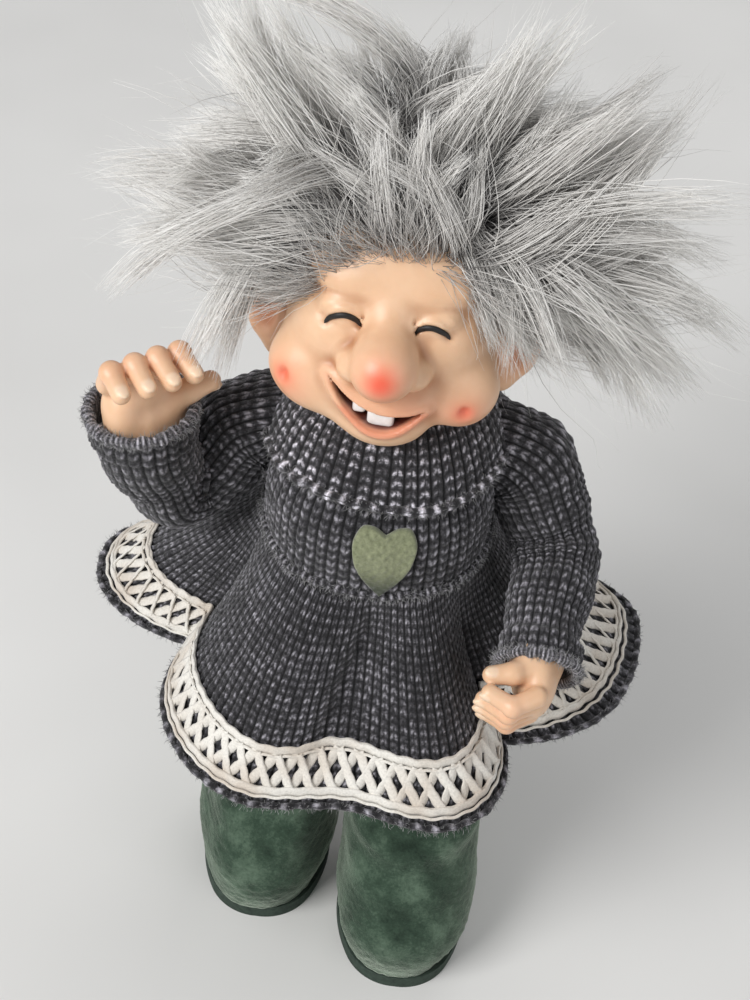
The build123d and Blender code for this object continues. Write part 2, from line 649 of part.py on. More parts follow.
def make_arm(name, side, upper_direction, fore_direction, elbow_axis, travel, hand):
    """All pieces of one arm, by node name."""
    upward = Vector(*upper_direction).normalized()
    onward = Vector(*fore_direction).normalized()
    hint = Vector(*elbow_axis)
    axis = (hint - onward * hint.dot(onward)).normalized()
    shoulder = Vector(side * SHOULDER_X, 0, SHOULDER_Z)
    elbow = shoulder + upward * UPPER_ARM
    wrist = elbow + onward * FOREARM
    outside = Vector(side, 0, 0)
    turns = [step * TRAVEL_STEP for step in range(int(travel / TRAVEL_STEP) + 1)] + [travel]
    upper_way = axis if upward.dot(axis) < 0 else axis * -1
    upper_eye = elbow + upper_way * EYE_SHIFT
    fore_eye = elbow - upper_way * EYE_SHIFT

    # The armature: two links that meet on a rivet
    pin_room = bar(
        shoulder + outside * (EYE_THICKNESS / 2),
        shoulder + outside * (EYE_THICKNESS / 2 + END_PLAY + PIN_HEAD_THICKNESS + PIN_GAP),
        PIN_HEAD_RADIUS + PIN_GAP,
    )
    rivet = make_rivet(elbow, upper_way)
    upper_shank = bar(
        eye_rim(shoulder, outside, upward),
        eye_rim(upper_eye, axis, upward * -1),
        LINK_RADIUS,
    )
    upper_link = eye(shoulder, outside) + eye(upper_eye, axis) + upper_shank
    upper_link = upper_link - through(shoulder, outside, SHOULDER_PIN_RADIUS + RUN_FIT) - pin_room
    upper_link -= rivet
    fore_shank = bar(fore_eye, wrist + onward * LINK_INTO_HAND, LINK_RADIUS)
    fore_link = eye(fore_eye, axis) + fore_shank - through(elbow, axis, RIVET_RADIUS + RUN_FIT)

    # What the forearm and the upper link sweep past one another
    fore_room = capsule(elbow, wrist, ELBOW_RADIUS + SOFT_GAP, WRIST_RADIUS + SOFT_GAP, True)
    link_room = bar(upper_eye, shoulder, LINK_RADIUS + EYE_SHIFT + PIN_GAP)

    # The sleeve over the upper arm, flat against the body
    trunk_side = Pos(side * (SHOULDER_FACE_X - FAR / 2), 0, SHOULDER_Z) * Box(FAR, FAR, FAR)
    upper_sleeve = capsule(shoulder, elbow, SHOULDER_RADIUS, ELBOW_RADIUS)
    upper_inside = capsule(shoulder, elbow, SHOULDER_RADIUS - SLEEVE_WALL, ELBOW_RADIUS - SLEEVE_WALL)
    upper_sleeve = upper_sleeve - upper_inside - trunk_side
    lean = (SHOULDER_RADIUS - ELBOW_RADIUS) / UPPER_ARM
    slant = sqrt(1 - lean**2)

    def inside_radius(distance):
        return (SHOULDER_RADIUS - SLEEVE_WALL - distance * lean) / slant

    low = WADDING_FROM_SHOULDER
    high = UPPER_ARM - WADDING_FROM_ELBOW
    upper_wadding = taper(
        shoulder + upward * low,
        shoulder + upward * high,
        inside_radius(low),
        inside_radius(high),
    )
    pin_path = bar(shoulder - outside * FAR, shoulder, SHOULDER_PIN_RADIUS + PIN_GAP)
    upper_wadding = upper_wadding - upper_link - pin_room - pin_path - trunk_side
    for turn in turns:
        swept = turned(fore_room, elbow, axis, turn)
        upper_sleeve -= swept
        upper_wadding -= swept

    # The sleeve over the forearm with its turned cuff
    fore_inside = capsule(elbow, wrist, ELBOW_RADIUS - SLEEVE_WALL, WRIST_RADIUS - SLEEVE_WALL, True)
    cuff_low = wrist - onward * CUFF_LENGTH
    cuff = bar(cuff_low, wrist, WRIST_RADIUS + CUFF_THICKNESS)
    fore_sleeve = capsule(elbow, wrist, ELBOW_RADIUS, WRIST_RADIUS, True) + cuff - fore_inside
    for turn in turns:
        fore_sleeve -= turned(link_room, elbow, axis, -turn)
    wadding_end = wrist - onward * WADDING_FROM_CUFF
    fore_wadding = fore_inside & taper(
        elbow + onward * WADDING_FROM_ELBOW, wadding_end, ELBOW_RADIUS, WRIST_RADIUS
    )
    fore_wadding -= fore_shank

    return {
        f"{name}_shoulder_pin": make_shoulder_pin(side),
        f"{name}_upper_link": upper_link,
        f"{name}_elbow_rivet": rivet,
        f"{name}_upper_wadding": upper_wadding,
        f"{name}_upper_sleeve": upper_sleeve,
        f"{name}_fore_link": fore_link,
        f"{name}_fore_wadding": fore_wadding,
        f"{name}_fore_sleeve": fore_sleeve,
        f"{name}_hand": make_hand(wrist, onward, hand) - fore_shank,
    }


def make_hand(wrist, onward, hand):
    """A cast hand: wrist stub, palm, four bent fingers and a thumb."""
    direction, thumb_way, palm_way, curl, beyond_cuff = hand
    frame = Plane(origin=wrist, x_dir=thumb_way, z_dir=direction)
    palm_middle = Vector(0, 0, beyond_cuff)
    stub_end = wrist + onward * (WRIST_STUB_RADIUS - WADDING_FROM_CUFF)
    stub = bar(wrist - onward * WADDING_FROM_CUFF, stub_end, WRIST_STUB_RADIUS)
    stub += Pos(stub_end) * Sphere(WRIST_STUB_RADIUS)
    form = ellipsoid(palm_middle, PALM_RADII)
    thin = FINGER_RADIUS - FINGER_TAPER
    first, last = (radians(angle) for angle in curl)
    for place in FINGER_PLACES:
        root = palm_middle + Vector(place * FINGER_SPREAD, 0, FINGER_ROOT)
        knuckle = root + Vector(0, palm_way * sin(first), cos(first)) * FINGER_FIRST
        tip = knuckle + Vector(0, palm_way * sin(last), cos(last)) * FINGER_LAST
        form += capsule(root, knuckle, FINGER_RADIUS, FINGER_RADIUS - FINGER_TAPER / 4)
        form += capsule(knuckle, tip, FINGER_RADIUS - FINGER_TAPER / 2, thin)
    rise = radians(THUMB_RISE)
    thumb_root = palm_middle + Vector(THUMB_ROOT_OUT, palm_way * THUMB_ROOT_FORWARD, 0)
    thumb_tip = thumb_root + Vector(sin(rise), palm_way * sin(rise) / 2, cos(rise)) * THUMB_LENGTH
    form += capsule(thumb_root, thumb_tip, THUMB_RADIUS, THUMB_RADIUS - FINGER_TAPER)
    return frame * form + stub


def make_all():
    """Every piece of the doll by node name."""
    head = make_head()
    upper_rise = MOUTH_RADII[2] - UPPER_TOOTH_SIZE[1] / 2
    lower_rise = LOWER_TOOTH_SIZE[1] / 2 - MOUTH_RADII[2]
    pieces = {
        "torso": make_torso(),
        "neck_post": neck_post(),
        "neck_washer": ring(NECK_Z, WASHER_THICKNESS, WASHER_RADIUS, NECK_POST_RADIUS),
        "neck_cap": ring(
            PLUG_Z + PLUG_HEIGHT + END_PLAY, NECK_CAP_THICKNESS, NECK_CAP_RADIUS, NECK_POST_RADIUS
        ),
        "bodice": make_bodice(),
        "collar": make_collar(),
        "skirt": make_skirt(),
        "lace_trim": make_lace(),
        "heart": make_heart(),
        "head": head,
        "neck_plug": make_neck_plug(),
        "upper_tooth": make_tooth(UPPER_TOOTH_SIZE, UPPER_TOOTH_X, upper_rise, head),
        "lower_tooth": make_tooth(LOWER_TOOTH_SIZE, LOWER_TOOTH_X, lower_rise, head),
        "wig": make_wig(),
    }
    for name, side in (("right", -1), ("left", 1)):
        pieces[f"{name}_leg"] = make_leg(side)
        pieces[f"{name}_leg_rod"] = make_leg_rod(side)
        pieces[f"{name}_boot"] = make_boot(side)
        pieces[f"{name}_sole"] = make_sole(side)
    right_hand = (RIGHT_HAND_DIRECTION, RIGHT_THUMB_WAY, -1, RIGHT_CURL, RIGHT_PALM_BEYOND_CUFF)
    left_hand = (LEFT_HAND_DIRECTION, LEFT_THUMB_WAY, 1, LEFT_CURL, LEFT_PALM_BEYOND_CUFF)
    pieces |= make_arm(
        "right",
        -1,
        RIGHT_UPPER_DIRECTION,
        RIGHT_FORE_DIRECTION,
        RIGHT_ELBOW_AXIS,
        RIGHT_ELBOW_TRAVEL,
        right_hand,
    )
    pieces |= make_arm(
        "left",
        1,
        LEFT_UPPER_DIRECTION,
        LEFT_FORE_DIRECTION,
        LEFT_ELBOW_AXIS,
        LEFT_ELBOW_TRAVEL,
        left_hand,
    )
    return pieces


os.makedirs("parts", exist_ok=True)
for node, solid in make_all().items():
    export_step(solid, f"parts/{node}.step")
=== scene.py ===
from math import acos, cos, pi, radians, sin

import bpy
import numpy as np
from mathutils import Matrix, Vector


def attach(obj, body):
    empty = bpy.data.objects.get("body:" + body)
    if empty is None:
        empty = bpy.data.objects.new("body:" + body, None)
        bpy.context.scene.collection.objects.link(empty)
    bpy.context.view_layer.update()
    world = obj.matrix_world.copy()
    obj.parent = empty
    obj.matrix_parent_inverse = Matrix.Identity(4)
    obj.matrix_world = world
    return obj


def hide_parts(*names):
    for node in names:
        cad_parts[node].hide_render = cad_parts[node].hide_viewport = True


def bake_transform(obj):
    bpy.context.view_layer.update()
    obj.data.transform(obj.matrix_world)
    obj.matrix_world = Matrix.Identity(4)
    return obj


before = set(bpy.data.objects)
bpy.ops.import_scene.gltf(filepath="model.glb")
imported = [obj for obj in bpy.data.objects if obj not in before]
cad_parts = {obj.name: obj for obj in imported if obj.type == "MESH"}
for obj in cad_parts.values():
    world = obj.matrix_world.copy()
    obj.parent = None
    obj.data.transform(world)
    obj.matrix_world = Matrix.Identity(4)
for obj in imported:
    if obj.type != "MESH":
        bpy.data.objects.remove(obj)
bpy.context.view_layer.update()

# Sizes are millimetres, in the doll's own frame: +Z up, facing -Y, its left hand towards +X.
MM = 0.001

# Boots
BOOT_WIDTH = 45.0
BOOT_LENGTH = 70.0
BOOT_TOE_HEIGHT = 34.0
BOOT_HEIGHT = 107.0
BOOT_SHAFT_RADIUS = 19.0
BOOT_SET_BACK = 10.0
BOOT_SOLE_TUCK = 2.0
BOOT_WIDEST_RISE = 12.0
BOOT_TOE_SLOPE = 4.0
BOOT_ANKLE_EASE = 1.0
BOOT_WALL = 3.0
BOOT_LINING = 18.0
BOOT_COLUMNS = 180
ANKLE_Z = 52.0
ANKLE_REACH = 13.0
BOOT_X = 24.0
STRIDE = 20.0
STANCE_Y = -15.0
SOLE_THICKNESS = 5.0
LEG_TOP_RADIUS = 12.0
LEG_IN_BOOT = 14.0
LEG_IN_BODY = 2.0
FULLNESS = 2.35

# Body: height, half width, half depth and how far forward its middle lies
BODY_ROWS = (
    (112.0, 29.5, 30.5, 3.0),
    (131.0, 31.0, 32.0, 3.0),
    (160.0, 29.5, 35.0, 3.0),
    (182.0, 27.5, 31.0, 2.0),
    (196.0, 18.0, 20.0, 1.0),
    (200.0, 15.0, 15.0, 0.0),
)
HIP_Z = 112.0
WAIST_Z = 160.0
NECKLINE_Z = 197.0
NECK_Z = 200.0

# Knitted dress
KNIT = 2.5
RIB_PITCH = 3.2
STITCH_PITCH = 2.6
RIB_HEIGHT = 1.05
STITCH_DEPTH = 0.55
STITCH_SLANT = 0.85
RIB_SAMPLES = 8
BODICE_RIBS = 66
COLLAR_RIBS = 54
SLEEVE_RIBS = 25
SEAM_POINTS = 420
LINING_STEP = 8
EDGE_SIDES = 10
FLUFF_TO_POINT = 5
SKIRT_LENGTH = 55.0
SKIRT_RIBS = 144
SKIRT_SAMPLES = 6
SKIRT_ROWS = 100
BELLY_FORWARD = 3.0
LACE_WIDTH = 14.3
LACE_BRAID = 3.7
LACE_THREAD = 2.9
LACE_SPACING = 5.7
LACE_SAMPLES = 16
FOLD_DEEPER = 6.0
DEEP_FOLD = 68.0
# Tuck at the front: azimuth at the waist, how far it leans on its way down, depth, where it ends,
# and how wide it is on its sharp and its soft side
TUCK_AZIMUTH = 4.5
TUCK_LEAN = 15.5
TUCK_DEPTH = 5.0
TUCK_END = 0.85
TUCK_SHARP = 3.5
TUCK_SOFT = 13.0
TUCK_SWELL = 2.0
HEM_WIDTH = 3.2
HEART_WIDTH = 17.0
HEART_HEIGHT = 20.0
HEART_X = 3.0
HEART_Z = 161.5
HEART_THICKNESS = 1.9
# Right half of the heart's outline from its dip round to its point, in half widths and heights
HEART_HALF = ((0, 0.91), (0.42, 1.0), (0.84, 0.95), (1.0, 0.78), (0.93, 0.55), (0.55, 0.25), (0, 0))

# Skirt hem: azimuth in degrees from the front towards the doll's left, radius at the hem, how late
# the cloth flares on its way down, and whether the fold comes out (1) or goes in (0) there
HEM_FOLDS = (
    (-105, 87, 1.15, 1),
    (-72, 62, 1.4, 0),
    (-22, 78, 0.95, 1),
    (2, 70, 1.2, 0),
    (24, 80, 1.1, 1),
    (48, 66, 2.2, 0),
    (100, 87, 1.6, 1),
    (128, 70, 1.4, 0),
    (154, 84, 1.1, 1),
    (180, 70, 1.4, 0),
    (206, 84, 1.1, 1),
    (232, 70, 1.4, 0),
)

# Collar: height, half width, half depth and forward shift, from inside the neck, over the fold and down
COLLAR_PROFILE = (
    (196.5, 16.6, 16.8, 0.0),
    (203.0, 17.2, 17.6, 0.0),
    (206.2, 18.8, 19.6, 0.2),
    (206.9, 21.0, 22.0, 0.4),
    (205.2, 24.3, 25.8, 0.6),
    (200.5, 28.2, 30.3, 1.0),
    (194.5, 31.4, 34.1, 1.6),
    (189.2, 33.4, 36.5, 2.0),
)
COLLAR_FULLNESS = 2.15
COLLAR_THICKNESS = 1.8

# Head: the chin's height, the skull, and how the face is turned and shifted on it
CHIN_Z = 208.0
SKULL_MIDDLE = np.array((0.0, 2.0, 242.0))
SKULL_RADII = np.array((30.0, 29.0, 29.0))
FACE_TURN = radians(3.0)
FACE_SHIFT = -1.5
HEAD_STEP = 0.75

# Fur wig: the backing lies above a hairline plane that slopes down towards the back
BACKING_GROW = 1.6
BACKING_REACH = 31.5
BACKING_TEMPLES = 0.22
HAIRLINE_POINT = np.array((0.0, -24.0, 257.0))
HAIRLINE_SLOPE = radians(38.0)
LOCK_BEND = 0.4
STRAND_SIDES = 3
STRAND_SEGMENTS = 8
STRANDS_IN_LOCK = 260
STRANDS_HANGING = 80
STRANDS_LOOSE = 1900
STRANDS_UNDERCOAT = 4200
STRANDS_STRAY = 330
# Roots tried for the hairline, of which those in its band are kept
ROOTS_HAIRLINE = 30000
CLUMPS_HANGING = 1
ROOT_DEPTH = 0.8
HAIRLINE_DROP = 2.2
HAIRLINE_BAND = 3.5
CLUMPS_IN_LOCK = 4
TEMPLE_DROP = 9.0
HAIR_LOW = np.array((-97.0, -86.0, 196.0))
HAIR_HIGH = np.array((99.0, 89.0, 331.0))

# Locks: root azimuth and elevation, tip azimuth and elevation (degrees about the middle of the
# skull, azimuth from the front towards the doll's left) and reach of the tip
HAIR_LOCKS = (
    (-70, 50, -78, 49, 84),
    (-50, 62, -72, 60, 79),
    (-85, 35, -84, 30, 78),
    (-75, 25, -80, 16, 76),
    (-62, 28, -72, 4, 74),
    (-95, 20, -100, 2, 78),
    (-105, 45, -110, 42, 76),
    (-40, 45, -52, 38, 58),
    (-30, 60, -40, 64, 56),
    (-5, 55, -22, 66, 51),
    (20, 58, 20, 70, 52),
    (40, 62, 70, 67, 80),
    (5, 82, 60, 74, 54),
    (120, 75, 112, 56, 62),
    (60, 50, 74, 51, 78),
    (72, 40, 80, 38, 80),
    (65, 28, 80, 24, 82),
    (75, 18, 82, 10, 84),
    (85, 10, 84, -4, 86),
    (58, 24, 72, -4, 82),
    (62, 16, 74, -18, 72),
    (48, 34, 52, -14, 48),
    (100, 5, 98, -20, 70),
    (105, 40, 108, 34, 80),
    (125, 25, 126, 12, 76),
    (125, 55, 136, 38, 66),
    (160, 60, 166, 40, 58),
    (160, 30, 160, 14, 72),
    (150, 0, 152, -22, 62),
    (180, -5, 180, -26, 58),
    (195, 62, 200, 40, 60),
    (200, 28, 202, 12, 74),
    (210, -2, 210, -20, 60),
    (230, 55, 228, 40, 68),
    (235, 22, 234, 10, 76),
)

# Thin locks that hang over the temples, the cheek and the raised hand, and low at the sides: as above,
# and how far each bends out
HANGING_LOCKS = (
    (25, 52, 41, -22, 46, 0.25),
    (30, 48, 36, -16, 44, 0.25),
    (35, 45, 48, -14, 50, 0.28),
    (42, 40, 56, -24, 56, 0.30),
    (-62, 15, -62, -36, 63, 0.35),
    (-66, 18, -68, -28, 66, 0.35),
    (-58, 20, -58, -18, 58, 0.30),
    (-80, 15, -85, -14, 79, 0.40),
    (82, 8, 84, -14, 86, 0.35),
    (78, 6, 82, -22, 82, 0.35),
    (72, 8, 79, -27, 74, 0.30),
)

# Arms: the shoulders' place, the length of both bones, and each arm's side and the ways of its bones
SHOULDER_X = 36.5
SHOULDER_Z = 184.0
UPPER_ARM = 33.0
FOREARM = 34.0
CUFF_LENGTH = 9.0
CUFF_THICKNESS = 1.4
ARMS = {
    "right": (-1, (-19, -8, -26), (-9, -12, 31)),
    "left": (1, (17, -7, -28.5), (-4, -31, -9)),
}
# Sleeves: radii from the shoulder down to the elbow, and the radius of each cuff
SLEEVE_RADII = (11.5, 12.6, 13.8, 13.2, 12.6, 12.6)
CUFF_RADII = {"right": 13.6, "left": 10.6}
# How far each cuff reaches over its hand, and the size of each hand
CUFF_OVER = {"right": 9.0, "left": 6.0}
HAND_SIZES = {"right": 0.95, "left": 0.88}
# Hands: the way each points, the way its thumb points, the side its palm faces, the two bends of its
# fingers and how far its palm's middle lies beyond the cuff
HANDS = {
    "right": ((-1, 1, 20), (0.81, 0.59, 0), -1, (35.0, 110.0), 12.0),
    "left": ((-1, -17, -8), (0, -0.5, 0.87), 1, (56.0, 112.0), 10.5),
}
# Thumbs: the ways of the two bones, across the hand, towards the palm and along the hand
THUMBS = {
    "right": ((0.77, 0.38, 0.64), (0.84, 0.30, 0.38)),
    "left": ((0.40, 0.72, 0.57), (0.02, 0.97, 0.24)),
}
FINGER_SPREAD = 6.2
FINGER_LENGTHS = (0.86, 0.97, 1.0, 0.93)
FINGER_BONES = (9.0, 8.6)
THUMB_BONE = 6.5
# Nails: half width, half thickness and half length
NAIL = np.array((1.8, 0.75, 2.1))
HAND_STEP = 0.55


# Mesh helpers


def add_piece(name, points, faces, material, slot, tones=None):
    """A mesh piece from points in millimetres and one or more arrays of faces."""
    points = np.reshape(points, (-1, 3))
    groups = faces if isinstance(faces, list) else [faces]
    corners = np.concatenate([np.asarray(g, np.int32).ravel() for g in groups])
    sizes = np.concatenate([np.full(len(g), g.shape[1], np.int32) for g in groups])
    mesh = bpy.data.meshes.new(name)
    mesh.vertices.add(len(points))
    mesh.vertices.foreach_set("co", (points * MM).astype(np.float32).ravel())
    mesh.loops.add(len(corners))
    mesh.loops.foreach_set("vertex_index", corners)
    mesh.polygons.add(len(sizes))
    mesh.polygons.foreach_set("loop_start", (np.cumsum(sizes) - sizes).astype(np.int32))
    mesh.update(calc_edges=True)
    mesh.validate()
    for label, values in (tones or {}).items():
        layer = mesh.attributes.new(label, "FLOAT", "POINT")
        layer.data.foreach_set("value", np.asarray(values, np.float32).ravel())
    mesh.materials.append(material)
    piece = bpy.data.objects.new(name, mesh)
    bpy.context.scene.collection.objects.link(piece)
    return piece


def settle(piece, body, *nodes):
    """The piece riding on a body, in place of the nodes that it dresses."""
    if nodes:
        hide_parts(*nodes)
    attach(piece, body)
    return piece


def grid_faces(rows, columns, around=True, over=False):
    """Quads of a grid of points, closed around its columns and, if over, its rows."""
    row = np.arange(rows if over else rows - 1)[:, None]
    column = np.arange(columns if around else columns - 1)[None, :]
    here = row * columns
    below = (row + 1) % rows * columns
    beside = (column + 1) % columns
    quads = [here + column, here + beside, below + beside, below + column]
    return np.stack(np.broadcast_arrays(*quads), -1).reshape(-1, 4)


def grid_normals(points, around=True):
    """Unit normals of a grid of points whose columns run round it and rows run along it."""
    if around:
        across = np.roll(points, -1, 1) - np.roll(points, 1, 1)
    else:
        across = np.gradient(points, axis=1)
    along = np.gradient(points, axis=0)
    normal = np.cross(across, along)
    return normal / np.maximum(np.linalg.norm(normal, axis=2, keepdims=True), 1e-9)


def unit(vector):
    vector = np.asarray(vector, float)
    return vector / np.linalg.norm(vector, axis=-1, keepdims=True)


def size_of(vectors):
    return np.linalg.norm(vectors, axis=-1)


def clamp(values):
    return np.clip(values, 0, 1)


def bell(away, width):
    """A soft hump: 1 in its middle, fading over its width."""
    return np.exp(-((away / width) ** 2))


def tint(points, *spots):
    """Soft spots of colour: the middle, reach and strength of each."""
    hues = [strength * bell(size_of((points - middle) / reach), 1) for middle, reach, strength in spots]
    return clamp(np.sum(hues, 0))


def full_turn(count):
    """Angles spaced evenly round a full turn."""
    return np.linspace(0, 2 * pi, count, endpoint=False)


def circles(first, second, turn):
    """Points round circles, or ovals, that pairs of directions span."""
    return np.cos(turn)[:, None] * first[..., None, :] + np.sin(turn)[:, None] * second[..., None, :]


def run_along(points):
    """Distances from the first of some points, or rows of points, along them."""
    step = size_of(np.diff(points, axis=0))
    if step.ndim > 1:
        step = step.mean(1)
    return np.concatenate([[0], np.cumsum(step)])


def hermite(knots, values, places):
    """A smooth curve through values at knots, read at places."""
    knots = np.asarray(knots, float)
    values = np.asarray(values, float).reshape(len(knots), -1)
    slopes = np.gradient(values, knots, axis=0)
    places = np.clip(places, knots[0], knots[-1])
    span = np.clip(np.searchsorted(knots, places, side="right") - 1, 0, len(knots) - 2)
    width = (knots[span + 1] - knots[span])[:, None]
    t = (places - knots[span])[:, None] / width
    start = values[span] * (1 + 2 * t) * (1 - t) ** 2 + slopes[span] * width * t * (1 - t) ** 2
    end = values[span + 1] * t**2 * (3 - 2 * t) + slopes[span + 1] * width * t**2 * (t - 1)
    return start + end


def ripple(points, length, seed):
    """Smooth irregular noise between about -1 and 1 over points, with waves of a given length."""
    draw = np.random.default_rng(seed)
    total = np.zeros(points.shape[:-1])
    for _ in range(6):
        wave = unit(draw.normal(size=3)) * 2 * pi / (length * draw.uniform(0.7, 1.6))
        total += np.sin(points @ wave + draw.uniform(0, 2 * pi))
    return total / 3


def superellipse(turn, fullness=FULLNESS):
    """Across and along parts of a full oval at an angle from +X."""
    across = np.sign(np.cos(turn)) * np.abs(np.cos(turn)) ** (2 / fullness)
    along = np.sign(np.sin(turn)) * np.abs(np.sin(turn)) ** (2 / fullness)
    return across, along


# Solid forms drawn as distance fields

FAR = 1e3


def egg(points, middle, radii):
    offset = points - np.asarray(middle, float)
    radii = np.asarray(radii, float)
    near = size_of(offset / radii)
    steep = size_of(offset / radii**2)
    return near * (near - 1) / np.maximum(steep, 1e-9)


def rod(points, start, end, start_radius, end_radius):
    start = np.asarray(start, float)
    along = np.asarray(end, float) - start
    share = clamp((points - start) @ along / (along @ along))
    reach = size_of(points - start - share[:, None] * along)
    return reach - (start_radius + (end_radius - start_radius) * share)


def join(first, second, soft):
    """Both forms together, with a soft fillet between them."""
    mix = clamp(0.5 + 0.5 * (second - first) / soft)
    return second + (first - second) * mix - soft * mix * (1 - mix)


def carve(form, tool, soft):
    """The form with the tool taken away, with a soft edge."""
    return -join(-form, tool, soft)


def heap(form, points, *rows):
    """The form with eggs joined to it: the middle, radii and softness of each."""
    for middle, radii, soft in rows:
        form = join(form, egg(points, middle, radii), soft)
    return form


def chain(points, line, radius):
    """A thin rod along a line of places, in strides of two."""
    form = np.full(len(points), FAR)
    for start, end in zip(line[:-1:2], line[2::2]):
        form = np.minimum(form, rod(points, start, end, radius, radius))
    return form


def surface_of(field, low, high, step):
    """Points and quads of the surface where a distance field is zero."""
    low = np.asarray(low, float)
    axes = [np.arange(a, b + step, step) for a, b in zip(low, high)]
    places = np.stack(np.meshgrid(*axes, indexing="ij"), -1)
    values = field(places.reshape(-1, 3)).reshape(places.shape[:3])
    inside = values < 0
    cells_shape = np.array(values.shape) - 1
    corners = [np.array((i, j, k)) for i in (0, 1) for j in (0, 1) for k in (0, 1)]
    count = np.zeros(cells_shape, np.int8)
    for corner in corners:
        window = tuple(slice(c, c + n) for c, n in zip(corner, cells_shape))
        count += inside[window]
    active = (count > 0) & (count < 8)
    cells = np.argwhere(active)
    index = np.full(active.shape, -1, np.int32)
    index[active] = np.arange(len(cells))
    total = np.zeros((len(cells), 3))
    hits = np.zeros(len(cells))
    for one in corners:
        for axis in range(3):
            if one[axis]:
                continue
            other = one.copy()
            other[axis] = 1
            here = values[tuple((cells + one).T)]
            there = values[tuple((cells + other).T)]
            crossing = (here < 0) != (there < 0)
            share = np.where(crossing, here / np.where(crossing, here - there, 1), 0)
            point = one + share[:, None] * (other - one)
            total += point * crossing[:, None]
            hits += crossing
    points = low + (cells + total / hits[:, None]) * step
    quads = []
    for axis in range(3):
        u, v = (axis + 1) % 3, (axis + 2) % 3
        first = np.moveaxis(inside, axis, 0)
        change = np.moveaxis(first[:-1] != first[1:], 0, axis)
        nodes = np.argwhere(change)
        keep = (nodes[:, u] > 0) & (nodes[:, v] > 0)
        keep &= (nodes[:, u] < cells_shape[u]) & (nodes[:, v] < cells_shape[v])
        nodes = nodes[keep]
        ring = []
        for shift_u, shift_v in ((-1, -1), (0, -1), (0, 0), (-1, 0)):
            cell = nodes.copy()
            cell[:, u] += shift_u
            cell[:, v] += shift_v
            ring.append(index[tuple(cell.T)])
        quad = np.stack(ring, -1)
        outward = inside[tuple(nodes.T)]
        quad[~outward] = quad[~outward][:, ::-1]
        quads.append(quad)
    return points, np.concatenate(quads)


def hollows(points, quads, rounds=6):
    """How hollow the surface is at each point, from -1 on ridges to 1 in creases."""
    ends = np.concatenate([quads[:, [0, 1]], quads[:, [1, 2]], quads[:, [2, 3]], quads[:, [3, 0]]])
    share = np.maximum(np.bincount(ends[:, 0], minlength=len(points)), 1)

    def spread(values):
        return np.stack([np.bincount(ends[:, 0], v[ends[:, 1]], len(points)) / share for v in values.T], -1)

    normal = np.zeros_like(points)
    face = np.cross(points[quads[:, 2]] - points[quads[:, 0]], points[quads[:, 3]] - points[quads[:, 1]])
    for corner in range(4):
        np.add.at(normal, quads[:, corner], face)
    smooth = points
    for _ in range(rounds):
        smooth = spread(smooth)
    depth = ((smooth - points) * unit(normal + 1e-12)).sum(1)[:, None]
    for _ in range(3):
        depth = spread(depth)
    return np.clip(depth[:, 0] / 0.35, -1, 1)


# Materials


class Look:
    """A material in the making: its shader and the nodes that feed it."""

    def __init__(self, name, roughness, **values):
        self.made = bpy.data.materials.new(name)
        self.made.use_nodes = True
        self.tree = self.made.node_tree
        self.shader = self.tree.nodes["Principled BSDF"]
        for label, value in {"Roughness": roughness, **values}.items():
            self.shader.inputs[label.replace("_", " ")].default_value = value

    def node(self, kind, inputs=None, **settings):
        """A node with its settings, and links or plain values for its inputs."""
        made = self.tree.nodes.new(kind)
        for label, value in settings.items():
            setattr(made, label, value)
        for label, value in (inputs or {}).items():
            if isinstance(value, bpy.types.NodeSocket):
                self.tree.links.new(value, made.inputs[label])
            else:
                made.inputs[label].default_value = value
        return made

    def tone(self, label):
        """A value that the mesh holds at its points."""
        return self.node("ShaderNodeAttribute", attribute_name=label).outputs["Fac"]

    def math(self, kind, first, second=0.0):
        return self.node("ShaderNodeMath", {0: first, 1: second}, operation=kind).outputs[0]

    def noise(self, scale, detail=3.0, rough=0.55):
        spot = self.node("ShaderNodeTexCoord").outputs["Object"]
        inputs = {"Vector": spot, "Scale": scale, "Detail": detail, "Roughness": rough}
        return self.node("ShaderNodeTexNoise", inputs).outputs["Fac"]

    def ramp(self, factor, *stops):
        """A colour ramp: each stop is a place and a colour."""
        made = self.node("ShaderNodeValToRGB", {"Fac": factor})
        points = made.color_ramp.elements
        while len(points) < len(stops):
            points.new(1.0)
        for point, (position, colour) in zip(points, stops):
            point.position = position
            point.color = (*colour, 1.0)
        return made.outputs["Color"]

    def mix(self, factor, first, second, blend="MIX"):
        inputs = {0: factor, 6: first, 7: second}
        return self.node("ShaderNodeMix", inputs, data_type="RGBA", blend_type=blend).outputs[2]

    def bump(self, height, strength, distance):
        made = self.node("ShaderNodeBump", {"Height": height, "Strength": strength, "Distance": distance})
        self.tree.links.new(made.outputs["Normal"], self.shader.inputs["Normal"])

    def paint(self, colour):
        """Gives the shader its colour, and returns the material."""
        self.tree.links.new(colour, self.shader.inputs["Base Color"])
        return self.made


